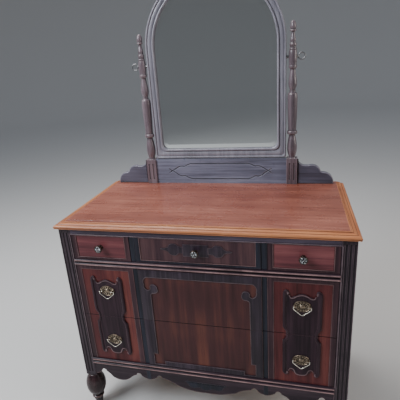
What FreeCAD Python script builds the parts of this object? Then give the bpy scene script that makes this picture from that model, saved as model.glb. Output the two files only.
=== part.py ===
import FreeCAD, Part
import math
import os
import re

import Sketcher

# A dresser with a tilting mirror: a veneered case of five drawers on turned legs,
# and an arched mirror that swings between two turned posts on its top.
# Millimetres. X runs to the right, the front faces -Y, Z is up from the floor,
# and the origin is under the middle of everything that the dresser takes up.

doc = FreeCAD.newDocument("DresserWithMirror")
sheet = doc.addObject("Spreadsheet::Sheet", "dims")

cells = {
    # top
    "topWidth": 1118, "topDepth": 572, "topThick": 22,
    "sideOverhang": 10.5, "frontOverhang": 17,
    "edgeWidth": 34, "edgeDrop": 12, "edgeRun": 27, "edgeStep": 1.5, "noseRound": 4,
    # heights of the case, stacked from the floor
    "footHeight": 183, "blockDrop": 67, "lowerRailHeight": 32, "lowerDrawerHeight": 224,
    "upperDrawerHeight": 232, "midRailHeight": 28, "smallDrawerHeight": 105, "friezeHeight": 27,
    # posts, their flutes, and the turned feet
    "postWidth": 48.5, "fluteWidth": 7.5, "flutePitch": 14, "fluteDepth": 2.5, "fluteMargin": 18,
    "quirkWidth": 1.6, "beadWidth": 6, "ballRadius": 43, "neckRadius": 22, "toeRadius": 14,
    "toeChamfer": 4, "taperHeight": 46, "collarRadius": 26, "collarHeight": 11, "collarRound": 2,
    "neckHeight": 9, "ballLower": 62, "ballUpper": 47,
    # case boards
    "railDepth": 60, "friezeThick": 24, "beadGap": 4, "boardThick": 18,
    "stileInner": 237, "stileWidth": 19, "stileSetback": 2,
    "panelThick": 8, "panelSetback": 8, "sideRailThick": 22, "sideRailSetback": 3,
    "backThick": 8, "runnerThick": 20, "runnerRise": 8, "runnerShelf": 38, "guideHeight": 18,
    "guideWidth": 15, "apronThick": 18,
    # scalloped lower edge of the apron: drops below the lower rail, and widths
    "bellyDrop": 86, "bellyRise": 21, "bellyHalf": 126, "notchDrop": 39, "notchHalf": 12,
    "innerNotchGap": 37, "cuspDrop": 52, "cuspHalf": 12, "outerNotchGap": 38, "lobeDrop": 67,
    "lobeHalf": 41, "lobeTilt": 6, "legNotchGap": 42, "toothDrop": 60,
    # drawers
    "faceSetback": 2, "frontThick": 20, "drawerGap": 1.5, "runGap": 0.3, "sideGap": 3,
    "rearGap": 35, "boxThick": 12, "longBoxHeight": 185, "smallBoxHeight": 84, "backDrop": 6,
    "bottomThick": 5, "grooveRise": 10, "grooveDepth": 5, "grooveSlack": 0.3,
    "fieldBorder": 22, "fieldTop": 16, "fieldDepth": 1.5, "panelTop": 3, "panelFoot": 12,
    # applied ebonised shields, split at the seam between the long drawers
    "overlayThick": 4, "overlayInset": 1, "shieldHalf": 68, "shieldWaist": 56, "waistRise": 14,
    "waistRound": 13, "earRise": 183, "upperCrest": 172, "lowerCrest": 185, "earRound": 14,
    "earWidth": 14, "earTilt": 6, "valleyX": 42, "valleyDepth": 31, "crestHalf": 20, "crestDrop": 8,
    # applied ebonised frame round the middle of the long drawers, with its volutes
    "frameColumn": 37, "frameBand": 35, "voluteReach": 37, "voluteFoot": 118, "voluteEye": 80,
    "voluteTop": 65, "voluteHook": 90, "cornerReach": 15, "footStep": 7, "footStepRise": 62,
    "footLine": 10, "footBand": 28, "footBandInset": 35,
    # knobs and bail pulls
    "knobRadius": 15.5, "knobReach": 28, "knobNeck": 6, "knobBase": 9, "knobDome": 5, "tipFlat": 1,
    "upperPullRise": 124, "lowerPullDrop": 111, "plateHalf": 31, "plateTall": 22.5,
    "plateThick": 2, "bossThick": 3, "bossMargin": 10, "pullPostX": 25, "pullPostRadius": 3.6,
    "pullPostReach": 12, "bailAxisReach": 9, "bailPin": 1.5, "pinSlack": 0.05, "bailWide": 3.4,
    "bailThick": 3, "bailDrop": 5, "bailShoulder": 9, "bailTurn": 50, "bailTip": 10, "bailPinLap": 5,
    # mirror stand
    "standBlock": 47, "standBlockHeight": 118, "blockPitch": 19.5, "blockMargin": 20, "standRailThick": 20, "standRailSetback": 8,
    "wingThick": 18, "wingSpan": 156, "wingToe": 8, "wingScroll": 48, "wingLow": 54, "wingStep": 7,
    "wingHump": 49, "wingHigh": 85, "wingCove": 33, "battenWidth": 42, "battenThick": 19, "battenDrop": 320,
    "screwRadius": 2.2, "screwHead": 4.5, "screwSlack": 0.1,
    # turned posts: vase, ring and column, measured from the block up
    "vaseHeight": 104, "vaseSwell": 40, "vaseRadius": 21, "vaseNeck": 13.5, "ringHeight": 18,
    "ringRadius": 22, "columnFoot": 17, "columnRadius": 20.5, "columnRound": 8,
    # turned posts: bulb, barrel, spindle and acorn, measured from the pivot
    "pivotHeight": 547, "bulbDrop": 142, "beadHeight": 9, "bulbSwell": 30, "bulbRadius": 17.5,
    "bulbNeck": 10.5, "barrelDrop": 50, "barrelRise": 30, "barrelFlat": 12, "barrelRadius": 17,
    "barrelEnd": 15, "collarBand": 8, "spindleRise": 54, "spindleRadius": 11, "spindleNeck": 6.5,
    "acornRise": 94, "acornRadius": 12.2, "finialRise": 137,
    # mirror
    "mirrorHalf": 306, "sideClear": 4, "mirrorGap": 3.5, "archHeight": 612, "frameWide": 38,
    "frameFoot": 44, "frameThick": 24, "frameStep": 5, "frameCorner": 6, "rebateWidth": 8,
    "rebateDepth": 11, "glassThick": 4, "glassCorner": 30, "glassSlack": 0.5, "backboardThick": 5,
    "outerBead": 8, "innerBead": 9, "beadRound": 2, "bevelWidth": 20, "bevelDepth": 1.2,
    # pivots
    "pivotPin": 3, "plateRadius": 7, "pivotPlateThick": 2, "bossRadius": 6,
    "seatGap": 0.3, "pinDepth": 15, "pinEndGap": 1, "shoulderRadius": 7,
    "shoulderThick": 3, "ringMean": 13.5, "ringWire": 2.6,
}

for row, (name, size) in enumerate(cells.items(), 1):
    sheet.set(f"A{row}", name)
    sheet.set(f"B{row}", str(size))
    sheet.setAlias(f"B{row}", name)
doc.recompute()

# Faces and levels that several pieces share, each worked out from the sheet.
places = {
    "rearPlane": "(topDepth + knobReach - frontOverhang - faceSetback - battenThick) / 2",
    "frontEdge": "rearPlane - topDepth",
    "caseHalf": "topWidth / 2 - sideOverhang",
    "postInner": "caseHalf - postWidth",
    "postFace": "frontEdge + frontOverhang",
    "postBack": "postFace + postWidth",
    "drawerFace": "postFace + faceSetback",
    "frontBack": "drawerFace + frontThick",
    "railBack": "drawerFace + railDepth",
    "rearInner": "rearPlane - postWidth",
    "panelInner": "caseHalf - panelSetback - panelThick",
    "sideRailInner": "caseHalf - sideRailSetback - sideRailThick",
    "stileOuter": "stileInner + stileWidth",
    "fieldMid": "(stileOuter + postInner) / 2",
    "railFoot": "footHeight + blockDrop",
    "lowerFloor": "railFoot + lowerRailHeight",
    "seam": "lowerFloor + lowerDrawerHeight",
    "midRailFoot": "seam + upperDrawerHeight",
    "rowFloor": "midRailFoot + midRailHeight",
    "friezeFoot": "rowFloor + smallDrawerHeight",
    "underTop": "friezeFoot + friezeHeight",
    "topFace": "underTop + topThick",
    "runnerTop": "seam + runnerRise",
    "boxEnd": "rearPlane - backThick - rearGap",
    "stripMid": "stileInner + stileWidth / 2",
    "frameInner": "stileInner - frameColumn",
    "pullPlane": "drawerFace + fieldDepth - overlayThick",
    "bailSpan": "pullPostX + pullPostRadius + seatGap + bailWide / 2",
    "standX": "mirrorHalf + sideClear + ringRadius",
    "standFoot": "standX - standBlock / 2",
    "standY": "rearPlane - standBlock / 2",
    "barrelInner": "standX - barrelRadius",
    "barrelOuter": "standX + barrelRadius",
    "pivotZ": "topFace + pivotHeight",
    "mirrorFoot": "topFace + standBlockHeight + mirrorGap",
    "archZ": "topFace + archHeight",
    "glassHalf": "mirrorHalf - frameWide + rebateWidth - glassSlack",
    "glassFoot": "mirrorFoot + frameFoot - rebateWidth + glassSlack",
}

nodes = []


def formula(text):
    # Shared places are spelled out, and each cell gets the sheet's name before it.
    def spell(word):
        name = word.group()
        if name in places:
            return "(" + formula(places[name]) + ")"
        return "dims." + name if name in cells else name
    return re.sub(r"[A-Za-z]\w*", spell, str(text))


def value(text):
    return float(sheet.evalExpression(formula(text)))


def place(item, x=0, y=0, z=0):
    for axis, where in (("x", x), ("y", y), ("z", z)):
        item.setExpression("Placement.Base." + axis, formula(where))


def node(item, label):
    item.Label = label
    nodes.append(item)
    return item


def box(label, x, y, z):
    # A plain board between two planes along each axis.
    board = doc.addObject("Part::Box", label)
    board.Label = label
    for prop, (low, high) in (("Length", x), ("Width", y), ("Height", z)):
        board.setExpression(prop, formula(f"({high}) - ({low})"))
    place(board, x[0], y[0], z[0])
    return board


def group(label, members):
    # Matching solids that are handled as one item.
    together = doc.addObject("Part::Compound", label)
    together.Links = members
    return node(together, label)


def newBody(label, x=0, y=0, z=0):
    body = doc.addObject("PartDesign::Body", label)
    body.Label = label
    place(body, x, y, z)
    return body


def sketch(body, plane, offset=0):
    # A sketch on one of the body's own origin planes, or parallel to it.
    made = body.newObject("Sketcher::SketchObject", body.Label + "_sketch")
    origin = next(o for o in body.Origin.OriginFeatures if o.Role == plane + "_Plane")
    made.AttachmentSupport = [(origin, "")]
    made.MapMode = "FlatFace"
    made.setExpression("AttachmentOffset.Base.z", formula(offset))
    return made


def outline(target, points, flip=1, closed=True):
    # Joins points by straight lines, or by arcs where a point carries a bow: the arc's
    # rise over half its chord. Loops run anticlockwise, so a positive bow swells out and
    # a negative one is hollow. flip=-1 draws the mirror image about the upright axis.
    ends = []
    spots = [(value(p[0]) * flip, value(p[1]), (p[2] if len(p) > 2 else 0) * flip) for p in points]
    count = len(spots) if closed else len(spots) - 1
    for i in range(count):
        (x0, y0, bow), (x1, y1, _) = spots[i], spots[(i + 1) % len(spots)]
        start, end = FreeCAD.Vector(x0, y0, 0), FreeCAD.Vector(x1, y1, 0)
        if bow:
            crown = FreeCAD.Vector((x0 + x1 + (y1 - y0) * bow) / 2, (y0 + y1 - (x1 - x0) * bow) / 2, 0)
            index = target.addGeometry(Part.Arc(start, crown, end), False)
            ends.append((index, 1, 2) if bow > 0 else (index, 2, 1))
        else:
            index = target.addGeometry(Part.LineSegment(start, end), False)
            ends.append((index, 1, 2))
    for i in range(count if closed else count - 1):
        here, following = ends[i], ends[(i + 1) % count]
        target.addConstraint(Sketcher.Constraint("Coincident", here[0], here[2], following[0], following[1]))
    for i, point in enumerate(points):
        index, corner = (ends[i][0], ends[i][1]) if i < count else (ends[-1][0], ends[-1][2])
        for kind, where in (("DistanceX", f"({point[0]}) * {flip}"), ("DistanceY", point[1])):
            made = target.addConstraint(Sketcher.Constraint(kind, -1, 1, index, corner, value(where)))
            target.setExpression(f"Constraints[{made}]", formula(where))
        if i < count and spots[i][2]:
            target.addConstraint(Sketcher.Constraint("Angle", index, 4 * math.atan(abs(spots[i][2]))))
    return target


def circle(target, x, y, radius):
    index = target.addGeometry(Part.Circle(FreeCAD.Vector(value(x), value(y), 0), FreeCAD.Vector(0, 0, 1),
                                           value(radius)), False)
    for kind, where in (("DistanceX", x), ("DistanceY", y)):
        made = target.addConstraint(Sketcher.Constraint(kind, -1, 1, index, 3, value(where)))
        target.setExpression(f"Constraints[{made}]", formula(where))
    made = target.addConstraint(Sketcher.Constraint("Radius", index, value(radius)))
    target.setExpression(f"Constraints[{made}]", formula(radius))
    return target


def rectangle(x0, x1, y0, y1):
    return [(x0, y0), (x1, y0), (x1, y1), (x0, y1)]


def bothSides(half, about="0"):
    # Puts the mirror image of a right-hand run before it. A run that starts or ends on
    # the mirror line meets its image there.
    image = [(f"2 * ({about}) - ({half[i][0]})", half[i][1]) + (half[i - 1][2:] if i else ())
             for i in range(len(half) - 1, -1, -1)]
    if value(half[-1][0]) == value(about):
        half = half[:-1] + [half[-1][:2] + image[0][2:]]
        image = image[1:]
    if value(half[0][0]) == value(about):
        image = image[:-1]
    return image + half


def turning(stations, steps=3):
    # Half the outline of a turned piece. A station is a radius and a place along the
    # axis; a third entry shapes the stretch to the next one: "ease" runs upright out of
    # both ends, and "dome" is a quarter oval, upright where it is wide.
    points = []
    for here, following in zip(stations, stations[1:] + stations[-1:]):
        points.append(here[:2])
        for step in range(1, steps if len(here) == 3 else 1):
            turn, up = math.pi * step / steps, step / steps
            across = (1 - math.cos(turn)) / 2
            if here[2] == "dome":
                rise, fall = math.sin(turn / 2), 1 - math.cos(turn / 2)
                widening = value(following[0]) > value(here[0])
                across, up = (rise, fall) if widening else (fall, rise)
            points.append(tuple(f"({low}) * {1 - share:.4f} + ({high}) * {share:.4f}"
                                for low, high, share in zip(here, following, (across, up))))
    return points


def pad(body, profile, length, back=False):
    made = body.newObject("PartDesign::Pad", body.Label + "_pad")
    made.Profile = profile
    made.Reversed = back
    made.setExpression("Length", formula(length))
    return made


def pocket(body, profile, depth=None, back=False):
    # Cuts against the sketch's normal; with no depth it cuts right through.
    made = body.newObject("PartDesign::Pocket", body.Label + "_pocket")
    made.Profile = profile
    made.Reversed = back
    if depth is None:
        made.Type = "ThroughAll"
    else:
        made.setExpression("Length", formula(depth))
    return made


def chamfer(body, base, plane, size, width=None):
    # Bevels every edge of the solid that lies in the plane y = plane of the body.
    doc.recompute()
    level = value(plane)
    made = body.newObject("PartDesign::Chamfer", body.Label + "_chamfer")
    made.Base = (base, [f"Edge{i}" for i, edge in enumerate(base.Shape.Edges, 1)
                        if all(abs(v.Point.y - level) < 1e-6 for v in edge.Vertexes)])
    made.setExpression("Size", formula(size))
    if width:
        made.ChamferType = "Two distances"
        made.setExpression("Size2", formula(width))
    return made


def turned(body, profile, axis="V_Axis"):
    made = body.newObject("PartDesign::Revolution", body.Label + "_turned")
    made.Profile = profile
    made.ReferenceAxis = (profile, [axis])
    made.Angle = 360
    return made


def extruded(label, plane, start, length, points, flip=1):
    # A board whose outline lies in the plane and whose thickness runs from start
    # towards +X, +Y or +Z.
    axis = {"YZ": "x", "XZ": "y", "XY": "z"}[plane]
    body = newBody(label, **{axis: start})
    pad(body, outline(sketch(body, plane), points, flip), length, back=plane == "XZ")
    return body


# ---- top -------------------------------------------------------------------

def edgeProfile(outer, inward):
    # A stepped thumbnail moulding; outer is the outside face, inward points to the panel.
    def at(across, height):
        return (f"{outer} + {inward} * ({across})", height)
    swell = 0.3 * inward
    return [at("edgeWidth", "underTop"), at("edgeWidth", "topFace"), at("edgeRun", "topFace"),
            at("edgeRun", "topFace - edgeStep") + (swell,), at("0", "topFace - edgeDrop"),
            at("0", "underTop + noseRound") + (swell,), at("noseRound", "underTop")]


def buildTop():
    node(box("top_panel", ("edgeWidth - topWidth / 2", "topWidth / 2 - edgeWidth"),
             ("frontEdge + edgeWidth", "rearPlane"), ("underTop", "topFace")), "top_panel")
    front = extruded("top_edge_front", "YZ", "-topWidth / 2", "topWidth", edgeProfile("frontEdge", 1))
    mitres = sketch(front, "XY")
    for end, inward in (("0", 1), ("topWidth", -1)):
        outline(mitres, [(end, "frontEdge"), (f"{end} + {inward} * edgeWidth", "frontEdge + edgeWidth"),
                         (end, "frontEdge + edgeWidth")])
    pocket(front, mitres, back=True)
    node(front, "top_edge_front")
    for side, word in ((-1, "left"), (1, "right")):
        edge = extruded("top_edge_" + word, "XZ", "frontEdge", "topDepth",
                        edgeProfile("topWidth / 2", -1), side)
        mitre = outline(sketch(edge, "XY"), [("topWidth / 2", "0"), ("topWidth / 2 - edgeWidth", "edgeWidth"),
                                             ("topWidth / 2 - edgeWidth", "0")], side)
        pocket(edge, mitre, back=True)
        node(edge, "top_edge_" + word)


# ---- legs ------------------------------------------------------------------

def footProfile():
    # The turned foot, from the floor up: toe, taper, collar, neck, ball, necking.
    collar = "taperHeight + collarHeight"
    ball = f"{collar} + neckHeight"
    return turning([("0", "0"), ("toeRadius - toeChamfer", "0"), ("toeRadius", "toeChamfer"),
                    ("neckRadius", "taperHeight"), ("collarRadius", "taperHeight + collarRound"),
                    ("collarRadius", f"{collar} - collarRound"), ("neckRadius", collar),
                    ("neckRadius", ball, "dome"), ("ballRadius", f"{ball} + ballLower", "dome"),
                    ("neckRadius", f"{ball} + ballLower + ballUpper"), ("neckRadius", "footHeight"),
                    ("0", "footHeight")], 4)


def buildLegs():
    half = "postWidth / 2"
    for side, word in ((-1, "left"), (1, "right")):
        for row in ("front", "rear"):
            middle = "postFace + postWidth / 2" if row == "front" else "rearPlane - postWidth / 2"
            leg = newBody(f"{row}_leg_{word}", f"{side} * (caseHalf - postWidth / 2)", middle)
            square = outline(sketch(leg, "XY", "footHeight"),
                             rectangle("-" + half, half, "-" + half, half))
            pad(leg, square, "underTop - footHeight")
            turned(leg, outline(sketch(leg, "XZ"), footProfile()))
            if row == "front":
                # The flutes share the width that the bead and its quirk leave.
                cutFlutes(leg, half, ("footHeight + fluteMargin", "underTop - fluteMargin"), 3,
                          "flutePitch", f"{side} * (beadWidth + quirkWidth) / 2")
                quirk = sketch(leg, "XZ", half)
                edge = f"{half} - beadWidth"
                outline(quirk, rectangle(f"{edge} - quirkWidth", edge, "lowerFloor", "friezeFoot"), -side)
                pocket(leg, quirk, "quirkWidth")
            node(leg, f"{row}_leg_{word}")


def cutFlutes(body, face, span, count, pitch, middleX="0"):
    # Upright round-ended grooves side by side on the front face, about middleX.
    grooves = sketch(body, "XZ", face)
    for step in range(count):
        middle = f"{middleX} + ({step} - {(count - 1) / 2}) * {pitch}"
        low, high = f"{span[0]} + fluteWidth / 2", f"{span[1]} - fluteWidth / 2"
        left, right = f"{middle} - fluteWidth / 2", f"{middle} + fluteWidth / 2"
        outline(grooves, [(left, low, 1), (right, low), (right, high, 1), (left, high)])
    pocket(body, grooves, "fluteDepth")


# ---- case ------------------------------------------------------------------

def beadedRail(label, low, height):
    # A drawer rail whose front edge carries two half-round beads with a flat between.
    front, back = "drawerFace", "railBack"
    bead = f"({height} - beadGap) / 2"
    profile = [(front, low), (back, low), (back, f"{low} + {height}"), (front, f"{low} + {height}", 1),
               (front, f"{low} + {bead} + beadGap"), (front, f"{low} + {bead}", 1)]
    return node(extruded(label, "YZ", "-postInner", "2 * postInner", profile), label)


def buildApron():
    # Lower edge from the middle to the leg: belly, notch, cusp under the strip, notch,
    # lobe, notch, tooth against the post.
    def edge(x, drop, bow=0):
        return (x, f"railFoot - ({drop})", bow)
    innerNotch, outerNotch = "(stileInner - innerNotchGap)", "(stileOuter + outerNotchGap)"
    legNotch = "(postInner - legNotchGap)"
    half = [edge("0", "bellyDrop", 0.12), edge("bellyHalf", "bellyDrop - bellyRise", -0.12),
            edge(f"{innerNotch} - notchHalf", "notchDrop", -0.9),
            edge(f"{innerNotch} + notchHalf", "notchDrop", 0.1),
            edge("stripMid - cuspHalf", "cuspDrop", 0.2), edge("stripMid + cuspHalf", "cuspDrop", 0.1),
            edge(f"{outerNotch} - notchHalf", "notchDrop", -0.9),
            edge(f"{outerNotch} + notchHalf", "notchDrop", -0.1),
            edge("fieldMid - lobeHalf", "lobeDrop - lobeTilt", 0.35), edge("fieldMid + lobeHalf", "lobeDrop", -0.1),
            edge(f"{legNotch} - notchHalf", "notchDrop", -0.9), edge(f"{legNotch} + notchHalf", "notchDrop", 0.25),
            edge("postInner", "toothDrop"), edge("postInner", "0")]
    node(extruded("apron", "XZ", "drawerFace", "apronThick", bothSides(half)), "apron")


def buildCase():
    across = ("-postInner", "postInner")
    node(box("frieze_rail", across, ("drawerFace", "drawerFace + friezeThick"),
             ("friezeFoot", "underTop")), "frieze_rail")
    beadedRail("mid_rail", "midRailFoot", "midRailHeight")
    beadedRail("lower_rail", "railFoot", "lowerRailHeight")

    buildApron()
    for side, word in ((-1, "left"), (1, "right")):
        outer, inner = "(caseHalf - panelSetback)", "panelInner"
        span = (f"-{outer}", f"-{inner}") if side < 0 else (inner, outer)
        node(box("side_panel_" + word, span, ("postBack", "rearInner"), ("lowerFloor", "underTop")),
             "side_panel_" + word)
        span = ("-stileOuter", "-stileInner") if side < 0 else ("stileInner", "stileOuter")
        node(box("stile_" + word, span, ("drawerFace + stileSetback", "frontBack"),
                 ("rowFloor", "friezeFoot")), "stile_" + word)
    rails, runners, guides = [], [], []
    for side, word in ((-1, "left"), (1, "right")):
        outer, inner = "(caseHalf - sideRailSetback)", "sideRailInner"
        span = (f"-{outer}", f"-{inner}") if side < 0 else (inner, outer)
        rails.append(box("side_rail_" + word, span, ("postBack", "rearInner"), ("railFoot", "lowerFloor")))
        # A runner is an angle: a shelf under the drawer side and a guide beside it.
        shelf = [("postInner - runnerShelf", "runnerTop - runnerThick"),
                 ("panelInner", "runnerTop - runnerThick"), ("panelInner", "runnerTop + guideHeight"),
                 ("postInner", "runnerTop + guideHeight"), ("postInner", "runnerTop"),
                 ("postInner - runnerShelf", "runnerTop")]
        runners.append(extruded("long_runner_" + word, "XZ", "postBack", "rearInner - postBack", shelf, side))
        middle = f"{side} * (stileInner + stileWidth / 2)"
        guides.append(box("top_guide_" + word, (f"{middle} - guideWidth / 2", f"{middle} + guideWidth / 2"),
                          ("railBack", "rearInner"), ("rowFloor", "rowFloor + guideHeight")))
    group("side_rails", rails)
    group("long_runners", runners)
    group("top_guides", guides)
    deep = ("railBack", "rearInner")
    node(box("mid_dust_board", ("-panelInner", "panelInner"), deep, ("rowFloor - boardThick", "rowFloor")),
         "mid_dust_board")
    node(box("lower_dust_board", ("-sideRailInner", "sideRailInner"), deep,
             ("lowerFloor - boardThick", "lowerFloor")), "lower_dust_board")
    node(box("back_panel", across, ("rearPlane - backThick", "rearPlane"), ("railFoot", "underTop")),
         "back_panel")


# ---- drawers ---------------------------------------------------------------

def buildDrawer(name, left, right, low, high, floor, boxHeight, fields):
    # Front, two grooved sides with a back between them, and a bottom that slides in.
    # left and right bound the opening; fields are the sunk veneered panels of the front.
    front = extruded(name + "_front", "XZ", "drawerFace", "frontThick",
                     rectangle(f"{left} + drawerGap", f"{right} - drawerGap",
                               f"{low} + drawerGap / 2", f"{high} - drawerGap / 2"))
    if fields:
        sunk = sketch(front, "XZ")
        for x0, x1, z0, z1 in fields:
            outline(sunk, rectangle(x0, x1, z0, z1))
        pocket(front, sunk, "fieldDepth")
    node(front, name + "_front")

    boards = []
    foot, head = f"{floor} + runGap", f"{floor} + runGap + {boxHeight}"
    grooveLow, grooveHigh = f"{foot} + grooveRise", f"{foot} + grooveRise + bottomThick"
    for edge, inward, word in ((f"({left} + sideGap)", 1, "left"), (f"({right} - sideGap)", -1, "right")):
        inner, deep = f"{edge} + {inward} * boxThick", f"{edge} + {inward} * (boxThick - grooveDepth)"
        section = [(edge, foot), (inner, foot), (inner, grooveLow), (deep, grooveLow),
                   (deep, grooveHigh), (inner, grooveHigh), (inner, head), (edge, head)]
        boards.append(extruded(f"{name}_side_{word}", "XZ", "frontBack", "boxEnd - frontBack", section))
    inside = (f"{left} + sideGap + boxThick", f"{right} - sideGap - boxThick")
    boards.append(box(name + "_back", inside, ("boxEnd - boxThick", "boxEnd"), (grooveHigh, f"{head} - backDrop")))
    group(name + "_box", boards)
    node(box(name + "_bottom", (f"{inside[0]} - grooveDepth + grooveSlack", f"{inside[1]} + grooveDepth - grooveSlack"),
             ("frontBack", "boxEnd"), (grooveLow, grooveHigh)), name + "_bottom")


def buildDrawers():
    panel = ("rowFloor + panelFoot", "friezeFoot - panelTop")
    side = ("stileOuter + fieldBorder", "postInner - fieldBorder")
    buildDrawer("left_drawer", "-postInner", "-stileOuter", "rowFloor", "friezeFoot", "rowFloor",
                "smallBoxHeight", [(f"-({side[1]})", f"-({side[0]})") + panel])
    buildDrawer("centre_drawer", "-stileInner", "stileInner", "rowFloor", "friezeFoot", "rowFloor",
                "smallBoxHeight", [("fieldBorder - stileInner", "stileInner - fieldBorder") + panel])
    buildDrawer("right_drawer", "stileOuter", "postInner", "rowFloor", "friezeFoot", "rowFloor",
                "smallBoxHeight", [side + panel])
    channels = [("-stileOuter", "-stileInner"), ("stileInner", "stileOuter")]
    sides = [(f"-({side[1]})", f"-({side[0]})"), side]
    upper = [c + ("seam - 1", "midRailFoot + 1") for c in channels]
    upper += [s + ("seam - 1", "midRailFoot - fieldTop") for s in sides]
    lower = [c + ("lowerFloor - 1", "seam + 1") for c in channels + sides]
    buildDrawer("upper_drawer", "-postInner", "postInner", "seam", "midRailFoot", "runnerTop",
                "longBoxHeight", upper)
    buildDrawer("lower_drawer", "-postInner", "postInner", "lowerFloor", "seam", "lowerFloor",
                "longBoxHeight", lower)


# ---- overlays --------------------------------------------------------------

def buildShield(label, side, level, up, crest):
    # Half a scroll-eared shield. It starts at the drawers' seam with a narrow waist and
    # ends in two ears with a crest between; up is 1 above the seam and -1 below it.
    def at(across, height, bow=0):
        return (f"fieldMid + {across}", f"{level} + {up} * ({height})", bow)
    outerEar, innerEar = "shieldHalf - earTilt", "shieldHalf - earTilt - earWidth"
    half = [at("shieldWaist", "0"), at("shieldWaist", "waistRise", -0.41),
            at("shieldHalf", "waistRise + waistRound"), at("shieldHalf", "earRise - earRound", 0.2),
            at(outerEar, "earRise", 0.8), at(innerEar, "earRise - earTilt", -0.3),
            at("valleyX", "earRise - valleyDepth", 0.1), at("crestHalf", f"{crest} - crestDrop", 0.2),
            at("0", crest)]
    loop = bothSides(half, "fieldMid")
    if up < 0:
        # Upside down the loop runs the other way round, so it is walked backwards.
        loop = [loop[i][:2] + loop[i - 1][2:] for i in range(len(loop) - 1, -1, -1)]
    return extruded(label, "XZ", "pullPlane", "overlayThick", loop, side)


def buildFrames(above, below):
    # A dark frame round the middle of both long drawers. Above the seam its columns end
    # in volutes under a straight band; below it they step out round a low middle band.
    edge, face = "stileInner - overlayInset", "drawerFace - overlayThick"
    top, foot = "midRailFoot - drawerGap - overlayInset", "lowerFloor + drawerGap + overlayInset"

    def scroll(inward, drop, bow=0):
        return (f"frameInner - ({inward})", f"midRailFoot - ({drop})", bow)
    half = [scroll("-cornerReach / 4", "frameBand", -0.4), scroll("-cornerReach", "voluteTop", -0.4),
            scroll("-cornerReach / 3", "voluteHook", -0.5), scroll("voluteReach / 5", "voluteEye", 0.6),
            scroll("voluteReach / 2", "voluteTop", 0.5), scroll("voluteReach", "voluteEye", 0.6),
            scroll("voluteReach / 2", "voluteEye + voluteFoot / 5", 0.2), scroll("0", "voluteFoot", -0.15),
            ("frameInner", above), (edge, above), (edge, top)]
    upper = extruded("upper_frame", "XZ", face, "overlayThick", bothSides(half))
    band, step = "frameInner - footBandInset", "frameInner + footStep"
    line = "lowerFloor + footLine"
    half = [(edge, foot), (edge, below), ("frameInner", below), ("frameInner", "lowerFloor + footStepRise"),
            (step, "lowerFloor + footStepRise"), (step, line), (band, line), (band, "lowerFloor + footBand")]
    lower = extruded("lower_frame", "XZ", face, "overlayThick", bothSides(half))
    return upper, lower


def buildOverlays():
    above, below = "seam + drawerGap / 2", "seam - drawerGap / 2"
    upper, lower = buildFrames(above, below)
    for part, level, up, crest, label in ((upper, above, 1, "upperCrest", "upper"),
                                          (lower, below, -1, "lowerCrest", "lower")):
        shields = [buildShield(f"{label}_shield_{word}", side, level, up, crest)
                   for side, word in ((-1, "left"), (1, "right"))]
        group(label + "_overlays", [part] + shields)


# ---- knobs and pulls -------------------------------------------------------

def buildKnobs():
    # Turned about the knob's own axis, from the domed face back to the flange.
    face = "(knobReach + fieldDepth)"
    profile = turning([("0", f"-{face}"), ("tipFlat", f"-{face}", "dome"), ("knobRadius", f"knobDome - {face}"),
                       ("knobRadius", f"2 * knobDome - {face}"), ("knobNeck", "-3 * knobNeck / 2"),
                       ("knobNeck", "knobNeck - knobBase - fieldDepth"), ("knobBase", "-fieldDepth"),
                       ("knobBase", "0"), ("0", "0")], 2)
    height = "(rowFloor + panelFoot + friezeFoot - panelTop) / 2"
    for word, x in (("left", "-fieldMid"), ("centre", "0"), ("right", "fieldMid")):
        knob = newBody(word + "_knob", x, "drawerFace + fieldDepth", height)
        turned(knob, outline(sketch(knob, "XY"), profile))
        node(knob, word + "_knob")


def buildPlate(label, x, z):
    # An oval plate with a raised middle and two bored posts that hold the bail.
    plate = newBody(label, x, "pullPlane", z)
    for margin, thick in (("0", "plateThick"), ("bossMargin", "plateThick + bossThick")):
        oval = [(f"{margin} - plateHalf", "0", 0.36), ("0", f"{margin} - plateTall", 0.36),
                (f"plateHalf - {margin}", "0", 0.36), ("0", f"plateTall - {margin}", 0.36)]
        pad(plate, outline(sketch(plate, "XZ"), oval), thick)
    posts = sketch(plate, "XZ")
    for side in (-1, 1):
        circle(posts, f"{side} * pullPostX", "0", "pullPostRadius")
    pad(plate, posts, "pullPostReach")
    bore = circle(sketch(plate, "YZ", "-plateHalf - 1"), "-bailAxisReach", "0", "bailPin + pinSlack")
    pocket(plate, bore, back=True)
    return plate


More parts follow.
